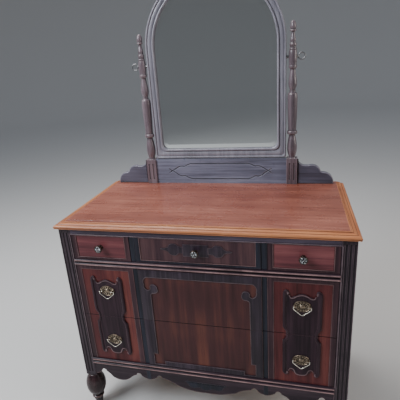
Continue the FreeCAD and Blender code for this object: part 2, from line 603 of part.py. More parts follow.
def buildBail(label, x, z):
    # A flat cast drop, open at the top, whose two pins turn in the plate's posts. Each
    # side drops straight, curves in round a shoulder and runs down to a round tip.
    bail = newBody(label, x, "pullPlane - bailAxisReach + bailThick / 2", z)
    turn = "bailTurn * 1 deg"
    shoulderX = "(bailSpan - bailShoulder)"
    run = f"({shoulderX} + (bailShoulder - bailTip) * cos({turn})) / tan({turn})"
    tipZ = f"(-bailDrop - (bailShoulder - bailTip) * sin({turn}) - {run})"

    def edge(grow):
        # Right-hand side of the drop from the bottom up, grown from its middle line.
        sweep = math.radians(value("bailTurn"))
        tip, shoulder = f"(bailTip + {grow})", f"(bailShoulder + {grow})"
        return [("0", f"{tipZ} - {tip}", math.tan((math.pi / 2 - sweep) / 4)),
                (f"{tip} * cos({turn})", f"{tipZ} - {tip} * sin({turn})"),
                (f"{shoulderX} + {shoulder} * cos({turn})", f"-bailDrop - {shoulder} * sin({turn})",
                 math.tan(sweep / 4)), (f"bailSpan + {grow}", "-bailDrop"), (f"bailSpan + {grow}", "0")]
    outer, inner = edge("bailWide / 2"), edge("-bailWide / 2")
    back = [inner[i][:2] + tuple(-bow for bow in inner[i - 1][2:]) for i in range(4, 0, -1)]
    half = outer[:4] + [outer[4] + (1,)] + back + [inner[0][:2]]
    pad(bail, outline(sketch(bail, "XZ"), bothSides(half)), "bailThick")
    for side in (-1, 1):
        pin = circle(sketch(bail, "YZ", f"{side} * bailSpan"), "-bailThick / 2", "0", "bailPin")
        pad(bail, pin, "bailSpan - pullPostX + bailPinLap", back=side > 0)
    return node(bail, label)


def buildPulls():
    for drawer, z in (("upper", "seam + upperPullRise"), ("lower", "seam - lowerPullDrop")):
        plates = []
        for word, x in (("left", "-fieldMid"), ("right", "fieldMid")):
            plates.append(buildPlate(f"{drawer}_plate_{word}", x, z))
            buildBail(f"{drawer}_bail_{word}", x, z)
        group(drawer + "_pull_plates", plates)


# ---- mirror stand ----------------------------------------------------------

def standProfile():
    # The turned post above its square block, with the places of its stations.
    vaseTop = "standBlockHeight + vaseHeight"
    ringTop = f"{vaseTop} + ringHeight"
    bulb, bead = "pivotHeight - bulbDrop", "beadHeight / 3"
    barrel, barrelTop = "pivotHeight - barrelDrop", "pivotHeight + barrelRise"
    spindle, acorn = "pivotHeight + spindleRise", "pivotHeight + acornRise"
    return turning([
        ("0", "standBlockHeight"), ("vaseNeck", "standBlockHeight", "ease"),
        ("vaseRadius", "standBlockHeight + vaseSwell", "ease"), ("vaseNeck", vaseTop),
        ("ringRadius", f"{vaseTop} + ringHeight / 4"), ("ringRadius", f"{ringTop} - ringHeight / 4"),
        ("columnFoot", ringTop), ("columnRadius", f"({ringTop} + {bulb}) / 2"),
        ("columnRadius", f"{bulb} - columnRound", "dome"), ("vaseNeck", bulb),
        ("bulbNeck", f"{bulb} + {bead}"), ("vaseNeck", f"{bulb} + 2 * {bead}"),
        ("bulbNeck", f"{bulb} + beadHeight", "ease"), ("bulbRadius", f"{bulb} + bulbSwell", "ease"),
        ("bulbNeck", barrel), ("barrelRadius", f"{barrel} + collarBand / 2"),
        ("barrelRadius", f"{barrel} + collarBand * 3 / 2"), ("barrelEnd", f"{barrel} + 2 * collarBand"),
        ("barrelRadius", "pivotHeight - barrelFlat"), ("barrelRadius", "pivotHeight + barrelFlat"),
        ("barrelEnd", f"{barrelTop} - collarBand / 2"), ("bulbNeck", f"{barrelTop} + collarBand / 2"),
        ("barrelEnd", f"{barrelTop} + collarBand * 3 / 2"), ("barrelEnd", f"{spindle} - collarBand / 2"),
        ("spindleRadius", spindle), ("spindleRadius", f"{spindle} + collarBand * 3 / 2", "ease"),
        ("spindleNeck", f"{acorn} - collarBand / 2"), ("acornRadius", f"{acorn} + collarBand / 4"),
        ("acornRadius", f"{acorn} + collarBand"), ("spindleRadius - 1", f"{acorn} + collarBand * 3 / 2"),
        ("acornRadius", f"{acorn} + collarBand * 3", "dome"), ("tipFlat", "pivotHeight + finialRise"),
        ("0", "pivotHeight + finialRise")])


def buildStand():
    half = "standBlock / 2"
    for side, word in ((-1, "left"), (1, "right")):
        post = newBody("stand_post_" + word, f"{side} * standX", "standY", "topFace")
        square = outline(sketch(post, "XY"), rectangle("-" + half, half, "-" + half, half))
        pad(post, square, "standBlockHeight")
        turned(post, outline(sketch(post, "XZ"), standProfile()))
        cutFlutes(post, half, ("blockMargin", "standBlockHeight - blockMargin"), 2, "blockPitch")
        bore = circle(sketch(post, "YZ", "-standBlock"), "0", "pivotHeight", "pivotPin + pinSlack")
        pocket(post, bore, back=True)
        node(post, "stand_post_" + word)
    inner = "standFoot"
    front = "rearPlane - standBlock + standRailSetback"
    node(box("stand_rail", (f"-{inner}", inner), (front, f"{front} + standRailThick"),
             ("topFace", "topFace + standBlockHeight")), "stand_rail")
    root = "standX + standBlock / 2"
    # A wing from its toe: a lobe, a small step, a hump, a flat, and a cove up to the block.
    wing = [(root, "topFace"), (f"{root} + wingSpan", "topFace"), (f"{root} + wingSpan", "topFace + wingToe", 0.42),
            (f"{root} + wingSpan - wingScroll", "topFace + wingLow"),
            (f"{root} + wingSpan - wingScroll - wingStep", "topFace + wingLow + wingStep / 2", 0.45),
            (f"{root} + wingHump", "topFace + wingHigh"), (f"{root} + wingCove", "topFace + wingHigh", -0.35),
            (root, "topFace + standBlockHeight")]
    wings, battens, screws = [], [], []
    heights = ("topFace + standBlockHeight / 2", "topFace - battenDrop / 4", "topFace - battenDrop * 9 / 10")
    for side, word in ((-1, "left"), (1, "right")):
        wings.append(extruded("stand_wing_" + word, "XZ", front, "wingThick", wing, side))
        batten = newBody("batten_" + word, f"{side} * standX", "rearPlane")
        pad(batten, outline(sketch(batten, "XZ"), rectangle("-battenWidth / 2", "battenWidth / 2",
            "topFace - battenDrop", "topFace + standBlockHeight - battenThick / 4")), "battenThick", back=True)
        for height in heights:
            cone = ("screwHead + screwSlack", "screwRadius + screwSlack")
            hole = outline(sketch(batten, "XY", height),
                           [("0", "0"), (cone[1], "0"), (cone[1], "battenThick - screwHead + screwRadius"),
                            (cone[0], "battenThick"), ("0", "battenThick")])
            groove = batten.newObject("PartDesign::Groove", "screw_hole")
            groove.Profile = hole
            groove.ReferenceAxis = (hole, ["V_Axis"])
            groove.Angle = 360
            screw = newBody(f"screw_{word}", f"{side} * standX", "rearPlane", height)
            turned(screw, outline(sketch(screw, "XY"), [("0", "screwSlack"), ("screwRadius", "screwSlack"),
                   ("screwRadius", "battenThick - screwHead + screwRadius"), ("screwHead", "battenThick"),
                   ("0", "battenThick")]))
            screws.append(screw)
        battens.append(batten)
    group("stand_wings", wings)
    group("battens", battens)
    group("batten_screws", screws)


# ---- mirror ----------------------------------------------------------------

def arched(half, foot, corner=None):
    # Straight sides up to a half-round arch; the lower corners may be rounded.
    if corner is None:
        return [(f"-({half})", foot), (half, foot), (half, "archZ", 1), (f"-({half})", "archZ")]
    turn = math.tan(math.radians(90) / 4)
    return [(f"-({half})", f"{foot} + {corner}", turn), (f"-({half}) + {corner}", foot),
            (f"{half} - ({corner})", foot, turn), (half, f"{foot} + {corner}"), (half, "archZ", 1),
            (f"-({half})", "archZ")]


def buildFrame():
    # Layers from the back: a rebated frame, then a raised bead at each edge of its face.
    frame = newBody("mirror_frame", y="standY + frameThick / 2")
    opening = ("mirrorHalf - frameWide", "mirrorFoot + frameFoot", "glassCorner")
    rim = sketch(frame, "XZ")
    outline(rim, arched("mirrorHalf", "mirrorFoot", "frameCorner"))
    outline(rim, arched(*opening))
    pad(frame, rim, "frameThick - frameStep")
    outer = sketch(frame, "XZ")
    outline(outer, arched("mirrorHalf", "mirrorFoot", "frameCorner"))
    outline(outer, arched("mirrorHalf - outerBead", "mirrorFoot + outerBead", "frameCorner / 3"))
    pad(frame, outer, "frameThick")
    inner = sketch(frame, "XZ")
    outline(inner, arched("mirrorHalf - frameWide + innerBead", "mirrorFoot + frameFoot - innerBead",
                          "glassCorner + innerBead"))
    outline(inner, arched(*opening))
    chamfer(frame, pad(frame, inner, "frameThick"), "-frameThick", "beadRound")
    rebate = sketch(frame, "XZ")
    outline(rebate, arched("mirrorHalf - frameWide + rebateWidth", "mirrorFoot + frameFoot - rebateWidth",
                           "glassCorner + rebateWidth"))
    pocket(frame, rebate, "rebateDepth", back=True)
    for start, back in (("-mirrorHalf - pinEndGap", True), ("mirrorHalf + pinEndGap", False)):
        bore = circle(sketch(frame, "YZ", start), "-frameThick / 2", "pivotZ", "pivotPin + pinSlack")
        pocket(frame, bore, "pinEndGap + pinDepth", back)
    node(frame, "mirror_frame")


def buildGlass():
    seat = "(standY + frameThick / 2 - rebateDepth)"
    corner = "glassCorner + rebateWidth - glassSlack"
    glass = newBody("mirror_glass", y=f"{seat} + glassThick")
    plate = pad(glass, outline(sketch(glass, "XZ"), arched("glassHalf", "glassFoot", corner)), "glassThick")
    chamfer(glass, plate, "-glassThick", "bevelDepth", "bevelWidth + rebateWidth - glassSlack")
    node(glass, "mirror_glass")
    node(extruded("mirror_backboard", "XZ", f"{seat} + glassThick", "backboardThick",
                  arched("glassHalf", "glassFoot", corner)), "mirror_backboard")


def buildPivots():
    # Each pin runs from its ring outside the post, through the barrel, into the frame.
    plates = []
    for side, word in ((-1, "left"), (1, "right")):
        plate = newBody("pivot_plate_" + word, "0", "standY", "pivotZ")
        bore, boss = "pivotPin + pinSlack", "barrelInner - seatGap"
        face = "mirrorHalf + pivotPlateThick"
        spots = [("mirrorHalf", bore), (boss, bore), (boss, "bossRadius"), (face, "bossRadius"),
                 (face, "plateRadius"), ("mirrorHalf", "plateRadius")]
        turned(plate, outline(sketch(plate, "XZ"), spots, side), "H_Axis")
        plates.append(plate)

        screw = newBody("thumbscrew_" + word, "0", "standY", "pivotZ")
        tip, seat = "mirrorHalf - pinDepth + pinEndGap", "barrelOuter + seatGap"
        head = f"{seat} + shoulderThick"
        spots = [(tip, "0"), (head, "0"), (head, "shoulderRadius"), (seat, "shoulderRadius"),
                 (seat, "pivotPin"), (tip, "pivotPin")]
        turned(screw, outline(sketch(screw, "XZ"), spots, side), "H_Axis")
        wire = f"{side} * ({head} + ringWire / 2)"
        centre = f"{wire} + {side} * ringMean"
        corners = [math.pi * (2 * step + 1) / 8 for step in range(8)]
        ring = outline(sketch(screw, "XY"), [(f"{wire} + ringWire * {math.cos(a):.4f}",
                                              f"ringWire * {math.sin(a):.4f}") for a in corners])
        hub = ring.addGeometry(Part.LineSegment(FreeCAD.Vector(value(centre), 0, 0),
                                                FreeCAD.Vector(value(centre), 1, 0)), True)
        for point, height in ((1, 0), (2, 1)):
            made = ring.addConstraint(Sketcher.Constraint("DistanceX", -1, 1, hub, point, value(centre)))
            ring.setExpression(f"Constraints[{made}]", formula(centre))
            ring.addConstraint(Sketcher.Constraint("DistanceY", -1, 1, hub, point, height))
        turned(screw, ring, "Axis0")
        node(screw, "thumbscrew_" + word)
    group("pivot_plates", plates)


buildTop()
buildLegs()
buildCase()
buildDrawers()
buildOverlays()
buildKnobs()
buildPulls()
buildStand()
buildFrame()
buildGlass()
buildPivots()
doc.recompute()

failed = [item.Label for item in doc.Objects if "Invalid" in item.State or "Error" in item.State]
failed += [item.Label for item in nodes if item.Shape.isNull() or not item.Shape.isValid()]
if failed:
    raise RuntimeError("not built: " + ", ".join(failed))

os.makedirs("parts", exist_ok=True)
for item in nodes:
    item.Shape.exportStep("parts/" + item.Label + ".step")
print(len(nodes), "parts,", sum(len(item.Shape.Solids) for item in nodes), "solids")
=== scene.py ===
import math

import bpy
import numpy as np
from mathutils import Matrix, Vector


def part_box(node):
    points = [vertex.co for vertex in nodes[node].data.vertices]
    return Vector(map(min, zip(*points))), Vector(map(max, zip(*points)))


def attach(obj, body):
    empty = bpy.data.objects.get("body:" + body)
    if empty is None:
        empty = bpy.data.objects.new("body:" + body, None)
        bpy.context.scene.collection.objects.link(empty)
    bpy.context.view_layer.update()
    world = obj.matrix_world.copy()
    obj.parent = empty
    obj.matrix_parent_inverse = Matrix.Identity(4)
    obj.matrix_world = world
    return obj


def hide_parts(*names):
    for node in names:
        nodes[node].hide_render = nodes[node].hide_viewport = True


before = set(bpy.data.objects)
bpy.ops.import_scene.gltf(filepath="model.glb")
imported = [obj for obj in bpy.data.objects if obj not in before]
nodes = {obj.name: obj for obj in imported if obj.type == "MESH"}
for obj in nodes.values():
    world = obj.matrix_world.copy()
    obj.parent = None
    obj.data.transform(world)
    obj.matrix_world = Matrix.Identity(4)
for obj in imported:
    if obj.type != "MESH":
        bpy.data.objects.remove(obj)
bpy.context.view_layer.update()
mm = 0.001
print("frame loaded:", len(nodes), "nodes")


# surfaces: every piece is built of shells, and a shell is a stack of closed rings

def ringQuads(count, around, closed=False):
    # The corners of the quads that join each of count rings of points to the next.
    row, column = np.meshgrid(np.arange(count if closed else count - 1), np.arange(around), indexing="ij")
    above, beside = (row + 1) % count, (column + 1) % around
    return np.stack([row * around + column, row * around + beside,
                     above * around + beside, above * around + column], -1).reshape(-1, 4)


def ringShell(rings, closed=False, marks=None):
    # rings is an array (rings, points, 3). The first and last rings get a cap, unless the
    # last ring meets the first again. marks says how much wear and painted highlight, and
    # how much wax and painted shade, each point has.
    # The sum of each face's area times its distance from the middle is above nothing
    # where faces look outwards, and otherwise they are turned.
    count, around = rings.shape[:2]
    quads = ringQuads(count, around, closed)
    points = rings.reshape(-1, 3)
    corners = points[quads]
    middle = points.mean(0)
    normals = np.cross(corners[:, 2] - corners[:, 0], corners[:, 3] - corners[:, 1])
    volume = np.einsum("ij,ij->", normals, corners.mean(1) - middle)
    faces = quads.tolist()
    if not closed:
        first, last = list(range(around))[::-1], list(range((count - 1) * around, count * around))
        for cap, ring in ((first, rings[0]), (last, rings[-1])):
            faces.append(cap)
            spin = np.cross(ring, np.roll(ring, -1, 0)).sum(0) * (-1 if cap is first else 1)
            volume += float(spin @ (ring.mean(0) - middle))
    if volume < 0:
        faces = [face[::-1] for face in faces]
    marks = np.zeros(2) if marks is None else marks
    return points, faces, np.broadcast_to(marks, rings.shape[:2] + (2,)).reshape(-1, 2)


def makePiece(name, shells, material, body, replaced=(), sharp=32):
    # Points are in millimetres, in the frame's own place.
    points = np.concatenate([shell[0] for shell in shells])
    marks = np.concatenate([shell[2] for shell in shells])
    faces, start = [], 0
    for shell in shells:
        faces += [[start + i for i in face] for face in shell[1]]
        start += len(shell[0])
    mesh = bpy.data.meshes.new(name)
    mesh.from_pydata((points * mm).tolist(), [], faces)
    for column, word in enumerate(("rubbed", "hollow")):
        attribute = mesh.attributes.new(word, "FLOAT", "POINT")
        attribute.data.foreach_set("value", marks[:, column].astype(np.float32))
    mesh.validate()
    mesh.shade_smooth()
    mesh.set_sharp_from_angle(angle=math.radians(sharp))
    piece = bpy.data.objects.new(name, mesh)
    bpy.context.scene.collection.objects.link(piece)
    mesh.materials.append(material)
    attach(piece, body)
    if replaced:
        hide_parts(*replaced)
    return piece


def boxOf(name):
    # Lowest and highest corner of a node of the frame, in millimetres.
    low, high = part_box(name)
    return np.array(low) / mm, np.array(high) / mm


# marks of wear and painted light: crests are rubbed light and painted with highlights, and
# hollows hold old wax and painted shade, found from the shape itself

def marksOf(stand, scale):
    # First how far a point stands out from its surroundings, then how far it lies under.
    return np.stack([np.clip(stand / scale, 0, 1), np.clip(-stand / scale, 0, 1)], -1)


def faceWearAndShade(xs, zs, depth, reach=2.2, scale=0.8):
    # A carved face against its own average, weighted by a bell curve as wide as reach.
    def spread(at):
        weight = np.exp(-((at[:, None] - at) / reach)**2) * np.gradient(at)
        return weight / weight.sum(1, keepdims=True)
    return marksOf(spread(zs) @ depth @ spread(xs).T - depth, scale)


def lineWearAndShade(line, closed=True, reach=2.5, scale=0.8, outward=1):
    # The same for a section: each point against the average of the line near it,
    # measured along the line's normal.
    line = np.array(line, float)
    loop = np.vstack([line, line[:1]]) if closed else line
    place = np.concatenate([[0], np.cumsum(np.linalg.norm(np.diff(loop, axis=0), axis=1))])
    at = np.arange(0, place[-1], 0.4)
    dense = np.stack([np.interp(at, place, loop[:, i]) for i in (0, 1)], 1)
    gap = np.abs(place[:len(line), None] - at)
    if closed:
        gap = np.minimum(gap, place[-1] - gap)
        following = np.roll(line, -1, 0)
        outward = 1 if (line[:, 0] * following[:, 1] - line[:, 1] * following[:, 0]).sum() > 0 else -1
    weight = np.exp(-(gap / reach)**2)
    weight /= weight.sum(1, keepdims=True)
    run = weight @ np.gradient(dense, axis=0)
    normal = outward * np.stack([run[:, 1], -run[:, 0]], 1)
    normal /= np.maximum(np.linalg.norm(run, axis=1), 1e-6)[:, None]
    return marksOf(((line - weight @ dense) * normal).sum(1), scale)


# materials

def plug(socket, value):
    # Links a socket or sets its value, and a colour's alpha is 1.
    if isinstance(value, bpy.types.NodeSocket):
        socket.id_data.links.new(value, socket)
    else:
        socket.default_value = (*value, 1) if socket.type == "RGBA" else value


def newMaterial(name):
    # Returns the material, a short way to add a node with values or links for its inputs,
    # named or numbered, and each point's place on its object.
    material = bpy.data.materials.new(name)
    material.use_nodes = True
    tree = material.node_tree
    tree.nodes.clear()

    def make(kind, settings=None, **inputs):
        node = tree.nodes.new("ShaderNode" + kind)
        for key, value in (settings or {}).items():
            setattr(node, key, value)
        for key, value in inputs.items():
            numbered = key[0] == "i" and key[1:].isdigit()
            plug(node.inputs[int(key[1:]) if numbered else key.replace("_", " ")], value)
        return node
    return material, make, make("TexCoord").outputs["Object"]


def ramp(make, source, stops):
    node = make("ValToRGB", Fac=source)
    while len(node.color_ramp.elements) < len(stops):
        node.color_ramp.elements.new(0.5)
    for element, (place, color) in zip(node.color_ramp.elements, stops):
        element.position = place
        element.color = (*color, 1) if isinstance(color, tuple) else (color, color, color, 1)
    return node.outputs["Color"]


def blendColor(make, factor, first, second):
    return make("Mix", {"data_type": "RGBA"}, i0=factor, i6=first, i7=second).outputs[2]


def maths(make, operation, *values):
    node = make("Math", {"operation": operation}, **{f"i{i}": value for i, value in enumerate(values)})
    return node.outputs[0]


def noise(make, where, scale, stretch=None, detail=4, rough=0.6, twist=0.0):
    if stretch:
        where = make("Mapping", Vector=where, Scale=stretch).outputs[0]
    node = make("TexNoise", Vector=where, Scale=scale, Detail=detail, Roughness=rough, Distortion=twist)
    return node.outputs[0]


def between(make, value, ends):
    # From the first of the ends to the second, as value goes from 0.3 to 0.7.
    return make("MapRange", Value=value, i1=0.3, i2=0.7, i3=ends[0], i4=ends[1]).outputs[0]


def marked(make, word):
    # At each point, the amount of the named mark: the one of wear and painted highlight, the other of wax and
    # painted shade.
    return make("Attribute", {"attribute_name": word}).outputs["Fac"]


# grain is the axis that the fibres follow, streak their pitch in lines per metre, and
# stripe the share of broad dark and light bands; the two mark amounts say how much of the
# rubbed colour, wear and painted highlight, and of the dark colour, wax and painted shade, shows
usualWood = {"grain": "Z", "streak": 90, "stripe": 0.4, "rough": (0.28, 0.44), "gloss": 0.22,
             "coat": 0.04, "wear": 0.9, "wax": 0.92}


def wood(dark, mid, light, rubAndHighlight, **changes):
    # A kind of wood by its linear colours, the last of them where it is rubbed through
    # and where a highlight is painted.
    return {**usualWood, "dark": dark, "mid": mid, "light": light, "rubAndHighlight": rubAndHighlight, **changes}


woodKinds = {
    "top": wood((0.165, 0.046, 0.029), (0.245, 0.078, 0.05), (0.335, 0.122, 0.082), (0.5, 0.27, 0.17),
                grain="X", streak=110, stripe=0.35, rough=(0.22, 0.38), gloss=0.5, coat=0.25, wear=0.3),
    "edge": wood((0.24, 0.074, 0.03), (0.385, 0.136, 0.053), (0.5, 0.205, 0.086), (0.6, 0.25, 0.115),
                 grain="X", stripe=0.3, rough=(0.26, 0.4), gloss=0.32, coat=0.06, wear=0.35),
    "case": wood((0.01, 0.006, 0.009), (0.022, 0.013, 0.0195), (0.048, 0.031, 0.043), (0.24, 0.165, 0.18),
                 gloss=0.24, wear=0.8),
    "foot": wood((0.009, 0.004, 0.005), (0.024, 0.011, 0.013), (0.06, 0.031, 0.033), (0.32, 0.2, 0.18),
                 streak=60, rough=(0.22, 0.36), gloss=0.28, coat=0.1),
    "rail": wood((0.009, 0.0045, 0.0075), (0.022, 0.0115, 0.0175), (0.048, 0.028, 0.037),
                 (0.4, 0.235, 0.225), grain="X", wear=1.0),
    # frieze: a lighter, bluer copy of the rail wood, as a painted sheen of reflected light along it
    "frieze": wood((0.038, 0.028, 0.042), (0.086, 0.065, 0.098), (0.15, 0.118, 0.17), (0.3, 0.22, 0.23),
                   grain="X", gloss=0.24, wear=1.0),
    # mirror frame: colours lightened and turned lavender-grey as a painted sheen of sky reflected in the
    # varnish
    "frame": wood((0.135, 0.128, 0.152), (0.215, 0.205, 0.24), (0.3, 0.283, 0.325), (0.315, 0.295, 0.33),
                  rough=(0.26, 0.42), gloss=0.45, coat=0.2, wear=0.35, wax=0.25),
    # stand rail: colours lightened and turned blue as a painted sheen of sky reflected in the varnish
    "stand": wood((0.074, 0.078, 0.108), (0.148, 0.155, 0.21), (0.225, 0.235, 0.305), (0.34, 0.32, 0.37),
                  grain="X", rough=(0.26, 0.42), gloss=0.45, coat=0.2, wear=0.5),
    # wings: colours lightened and turned blue as a painted sheen of reflected light
    "wing": wood((0.04, 0.039, 0.053), (0.086, 0.084, 0.116), (0.135, 0.131, 0.172), (0.3, 0.27, 0.3),
                 grain="X", gloss=0.4, coat=0.1, wear=0.8),
    # stand posts and blocks: colours lightened and turned a little blue as a painted sheen of reflected sky
    "post": wood((0.068, 0.05, 0.059), (0.143, 0.105, 0.121), (0.225, 0.173, 0.192), (0.34, 0.25, 0.24),
                 rough=(0.24, 0.4), gloss=0.5, coat=0.3, wear=0.5),
    "black": wood((0.005, 0.006, 0.01), (0.01, 0.011, 0.019), (0.02, 0.022, 0.036), (0.13, 0.1, 0.11),
                  stripe=0.3, gloss=0.24, coat=0.05, wear=0.6),
    "carving": wood((0.012, 0.0078, 0.012), (0.025, 0.016, 0.024), (0.048, 0.032, 0.045),
                    (0.21, 0.145, 0.15), stripe=0.3),
    "shield": wood((0.0095, 0.0034, 0.0065), (0.023, 0.0088, 0.015), (0.041, 0.018, 0.0265),
                   (0.26, 0.165, 0.17), stripe=0.3, gloss=0.18, coat=0.02, wear=0.95),
    "walnut": wood((0.02, 0.0075, 0.008), (0.056, 0.0172, 0.018), (0.124, 0.038, 0.026),
                   (0.22, 0.12, 0.09), streak=30, stripe=0.6, rough=(0.26, 0.42), coat=0.05, wear=0.6),
    "red": wood((0.034, 0.0055, 0.0062), (0.086, 0.0155, 0.017), (0.16, 0.038, 0.03), (0.24, 0.11, 0.09),
                streak=50, stripe=0.55, rough=(0.26, 0.42), coat=0.05, wear=0.5),
    # a lighter, pinker copy of the red for the top row's side panels: painted light, where more light falls
    # on the top row
    "litTopRowRed": wood((0.054, 0.015, 0.0185), (0.145, 0.039, 0.045), (0.24, 0.075, 0.075), (0.26, 0.13, 0.11),
                 grain="X", streak=42, stripe=0.45, rough=(0.26, 0.42), gloss=0.24, coat=0.05, wear=0.5),
    "plum": wood((0.019, 0.0085, 0.012), (0.049, 0.0215, 0.0275), (0.092, 0.042, 0.044),
                 (0.24, 0.14, 0.13), streak=40, stripe=0.5, rough=(0.26, 0.42), coat=0.05, wear=0.6),
    "border": wood((0.014, 0.0052, 0.008), (0.035, 0.0135, 0.019), (0.072, 0.031, 0.037),
                   (0.21, 0.118, 0.115), streak=70, gloss=0.2, coat=0.03),
    "raw": wood((0.2, 0.1, 0.045), (0.34, 0.19, 0.09), (0.47, 0.29, 0.15), (0.55, 0.38, 0.22), grain="X",
                streak=45, stripe=0.5, rough=(0.55, 0.75), gloss=0.3, coat=0.0, wear=0.0),
}
grainTurn = {"X": (0, 0, 0), "Y": (0, 0, math.radians(90)), "Z": (0, math.radians(90), 0)}


def grainColor(make, kind, where, grain=None, lift=None):
    # Fibres: noise stretched 25 times along the grain, with broad bands under it and
    # short dark pores over it. Lift, where given, lightens the wood. Returns the colour,
    # the pore mask and the mixed streaks.
    along = make("Mapping", Vector=where, Rotation=grainTurn[grain or kind["grain"]]).outputs[0]
    streak = noise(make, along, kind["streak"], (0.04, 1, 1), 5, 0.62, 0.1)
    band = noise(make, along, 11, (0.10, 1, 1), 3, 0.5, 0.25)
    cloud = noise(make, along, 5, None, 2, 0.5)
    pores = noise(make, along, 420, (0.035, 1, 1), 2, 0.5)
    fine = maths(make, "MULTIPLY", streak, 1 - kind["stripe"])
    mixed = maths(make, "ADD", fine, maths(make, "MULTIPLY", band, kind["stripe"]))
    mixed = maths(make, "ADD", mixed, maths(make, "MULTIPLY", maths(make, "SUBTRACT", cloud, 0.5), 0.25))
    if lift:
        mixed = maths(make, "ADD", mixed, lift)
    color = ramp(make, mixed, [(0.36, kind["dark"]), (0.5, kind["mid"]), (0.64, kind["light"])])
    poreMask = ramp(make, pores, [(0.60, 0.0), (0.70, 1.0)])
    return blendColor(make, maths(make, "MULTIPLY", poreMask, 0.45), color, kind["dark"]), poreMask, mixed


def wornAndHighlitEdge(make):
    # One on arrises, from the angle between the true normal and one rounded over 1.6 mm.
    # The mask lightens arrises as wear and painted highlight.
    rounded = make("Bevel", {"samples": 4}, Radius=0.0016).outputs[0]
    plain = make("NewGeometry").outputs["Normal"]
    alike = make("VectorMath", {"operation": "DOT_PRODUCT"}, i0=rounded, i1=plain).outputs["Value"]
    return ramp(make, alike, [(0.80, 1.0), (0.985, 0.0)])


def varnished(make, kind, color, pores, streak, where):
    # Old varnish over the wood: duller in patches, open at the pores, lighter on crests and
    # arrises as rubbed wear and painted highlight, and dark in the hollows with wax and painted shade.
    rough = between(make, noise(make, where, 22, None, 5), kind["rough"])
    if kind["wear"]:
        patches = ramp(make, noise(make, where, 14, None, 4, 0.65), [(0.36, 0.4), (0.60, 1.0)])
        arrises = maths(make, "MULTIPLY", wornAndHighlitEdge(make), 0.6)
        rubbed = maths(make, "MAXIMUM", marked(make, "rubbed"), arrises)
        rubbed = maths(make, "MULTIPLY", rubbed, kind["wear"])
        # crests and arrises lighten towards the rubbed colour: wear, and painted highlight
        color = blendColor(make, maths(make, "MULTIPLY", rubbed, patches), color, kind["rubAndHighlight"])
        # hollows darken towards a near-black copy of the dark colour: old wax, and painted shade in creases
        # and recesses
        hollow = marked(make, "hollow")
        wax = tuple(0.22 * shade for shade in kind["dark"])
        color = blendColor(make, maths(make, "MULTIPLY", hollow, kind["wax"]), color, wax)
        rough = maths(make, "ADD", rough, maths(make, "MULTIPLY", hollow, 0.25))
    height = maths(make, "SUBTRACT", maths(make, "MULTIPLY", streak, 0.6), pores)
    bump = make("Bump", Strength=0.25, Distance=0.00025, Height=height).outputs[0]
    shader = make("BsdfPrincipled", Base_Color=color, Roughness=rough, Normal=bump, Coat_Weight=kind["coat"],
                  Coat_Roughness=0.16, Specular_IOR_Level=kind["gloss"])
    make("OutputMaterial", Surface=shader.outputs[0])


def woodMaterial(name, kindName, grain=None):
    material, make, where = newMaterial(name)
    kind = woodKinds[kindName]
    varnished(make, kind, *grainColor(make, kind, where, grain), where)
    return material


def boxMaterial(name):
    # Bare boards whose grain runs across, or from front to back on faces that look sideways.
    material, make, where = newMaterial(name)
    kind = woodKinds["raw"]
    facing = make("SeparateXYZ", Vector=make("TexCoord").outputs["Normal"]).outputs["X"]
    sideways = maths(make, "GREATER_THAN", maths(make, "ABSOLUTE", facing), 0.7)
    color, pores, streak = grainColor(make, kind, where)
    color = blendColor(make, sideways, color, grainColor(make, kind, where, "Y")[0])
    varnished(make, kind, color, pores, streak, where)
    return material


# the veneered fronts: where each veneer lies, in millimetres, and how much lighter the
# walnut is at shares of paleReach, in metres, from the middle
veneers = {"channel": (237.0, 256.0), "panel": (278.0, 478.0), "longTop": 722.0, "row": 750.0,
           "rowPanel": (778.0, 868.0), "centrePanel": 215.0, "paleReach": 0.2,
           "pale": [(0.05, 0.10), (0.32, 0.0), (0.70, 0.0), (0.90, 0.04)]}


def veneerMaterial(name):
    # Red panels in purple borders at the sides, ebonised channels, and walnut matched
    # like an open book about the middle.
    material, make, where = newMaterial(name)
    apart = make("SeparateXYZ", Vector=where)
    reach, height = maths(make, "ABSOLUTE", apart.outputs["X"]), apart.outputs["Z"]
    opened = make("CombineXYZ", X=reach, Y=apart.outputs["Y"], Z=height).outputs[0]

    def within(value, low, high):
        above = maths(make, "GREATER_THAN", value, low * mm)
        return maths(make, "MULTIPLY", above, maths(make, "LESS_THAN", value, high * mm))

    def grained(kindName, place, lift=None):
        return grainColor(make, woodKinds[kindName], place, None, lift)[0]
    inRow = within(height, *veneers["rowPanel"])
    panelHeight = maths(make, "MAXIMUM", within(height, 0, veneers["longTop"]), inRow)
    red = maths(make, "MULTIPLY", within(reach, *veneers["panel"]), panelHeight)
    small = maths(make, "MULTIPLY", within(reach, -1, veneers["centrePanel"]), inRow)
    inner, outer = veneers["channel"]
    large = maths(make, "MULTIPLY", within(reach, -1, inner), within(height, 0, veneers["row"]))
    black = within(reach, -1, outer)
    color, pores, streak = grainColor(make, woodKinds["border"], where)
    # the top row's side panels take the lighter copy of the red, painted light falling on the top row
    sidePanel = blendColor(make, inRow, grained("red", where), grained("litTopRowRed", where))
    color = blendColor(make, red, color, sidePanel)
    color = blendColor(make, black, color, grained("black", where))
    paler = ramp(make, maths(make, "MULTIPLY", reach, 1 / veneers["paleReach"]), veneers["pale"])
    color = blendColor(make, large, color, grained("walnut", opened, paler))
    color = blendColor(make, small, color, grained("plum", opened))
    varnished(make, woodKinds["border"], color, pores, streak, where)
    return material


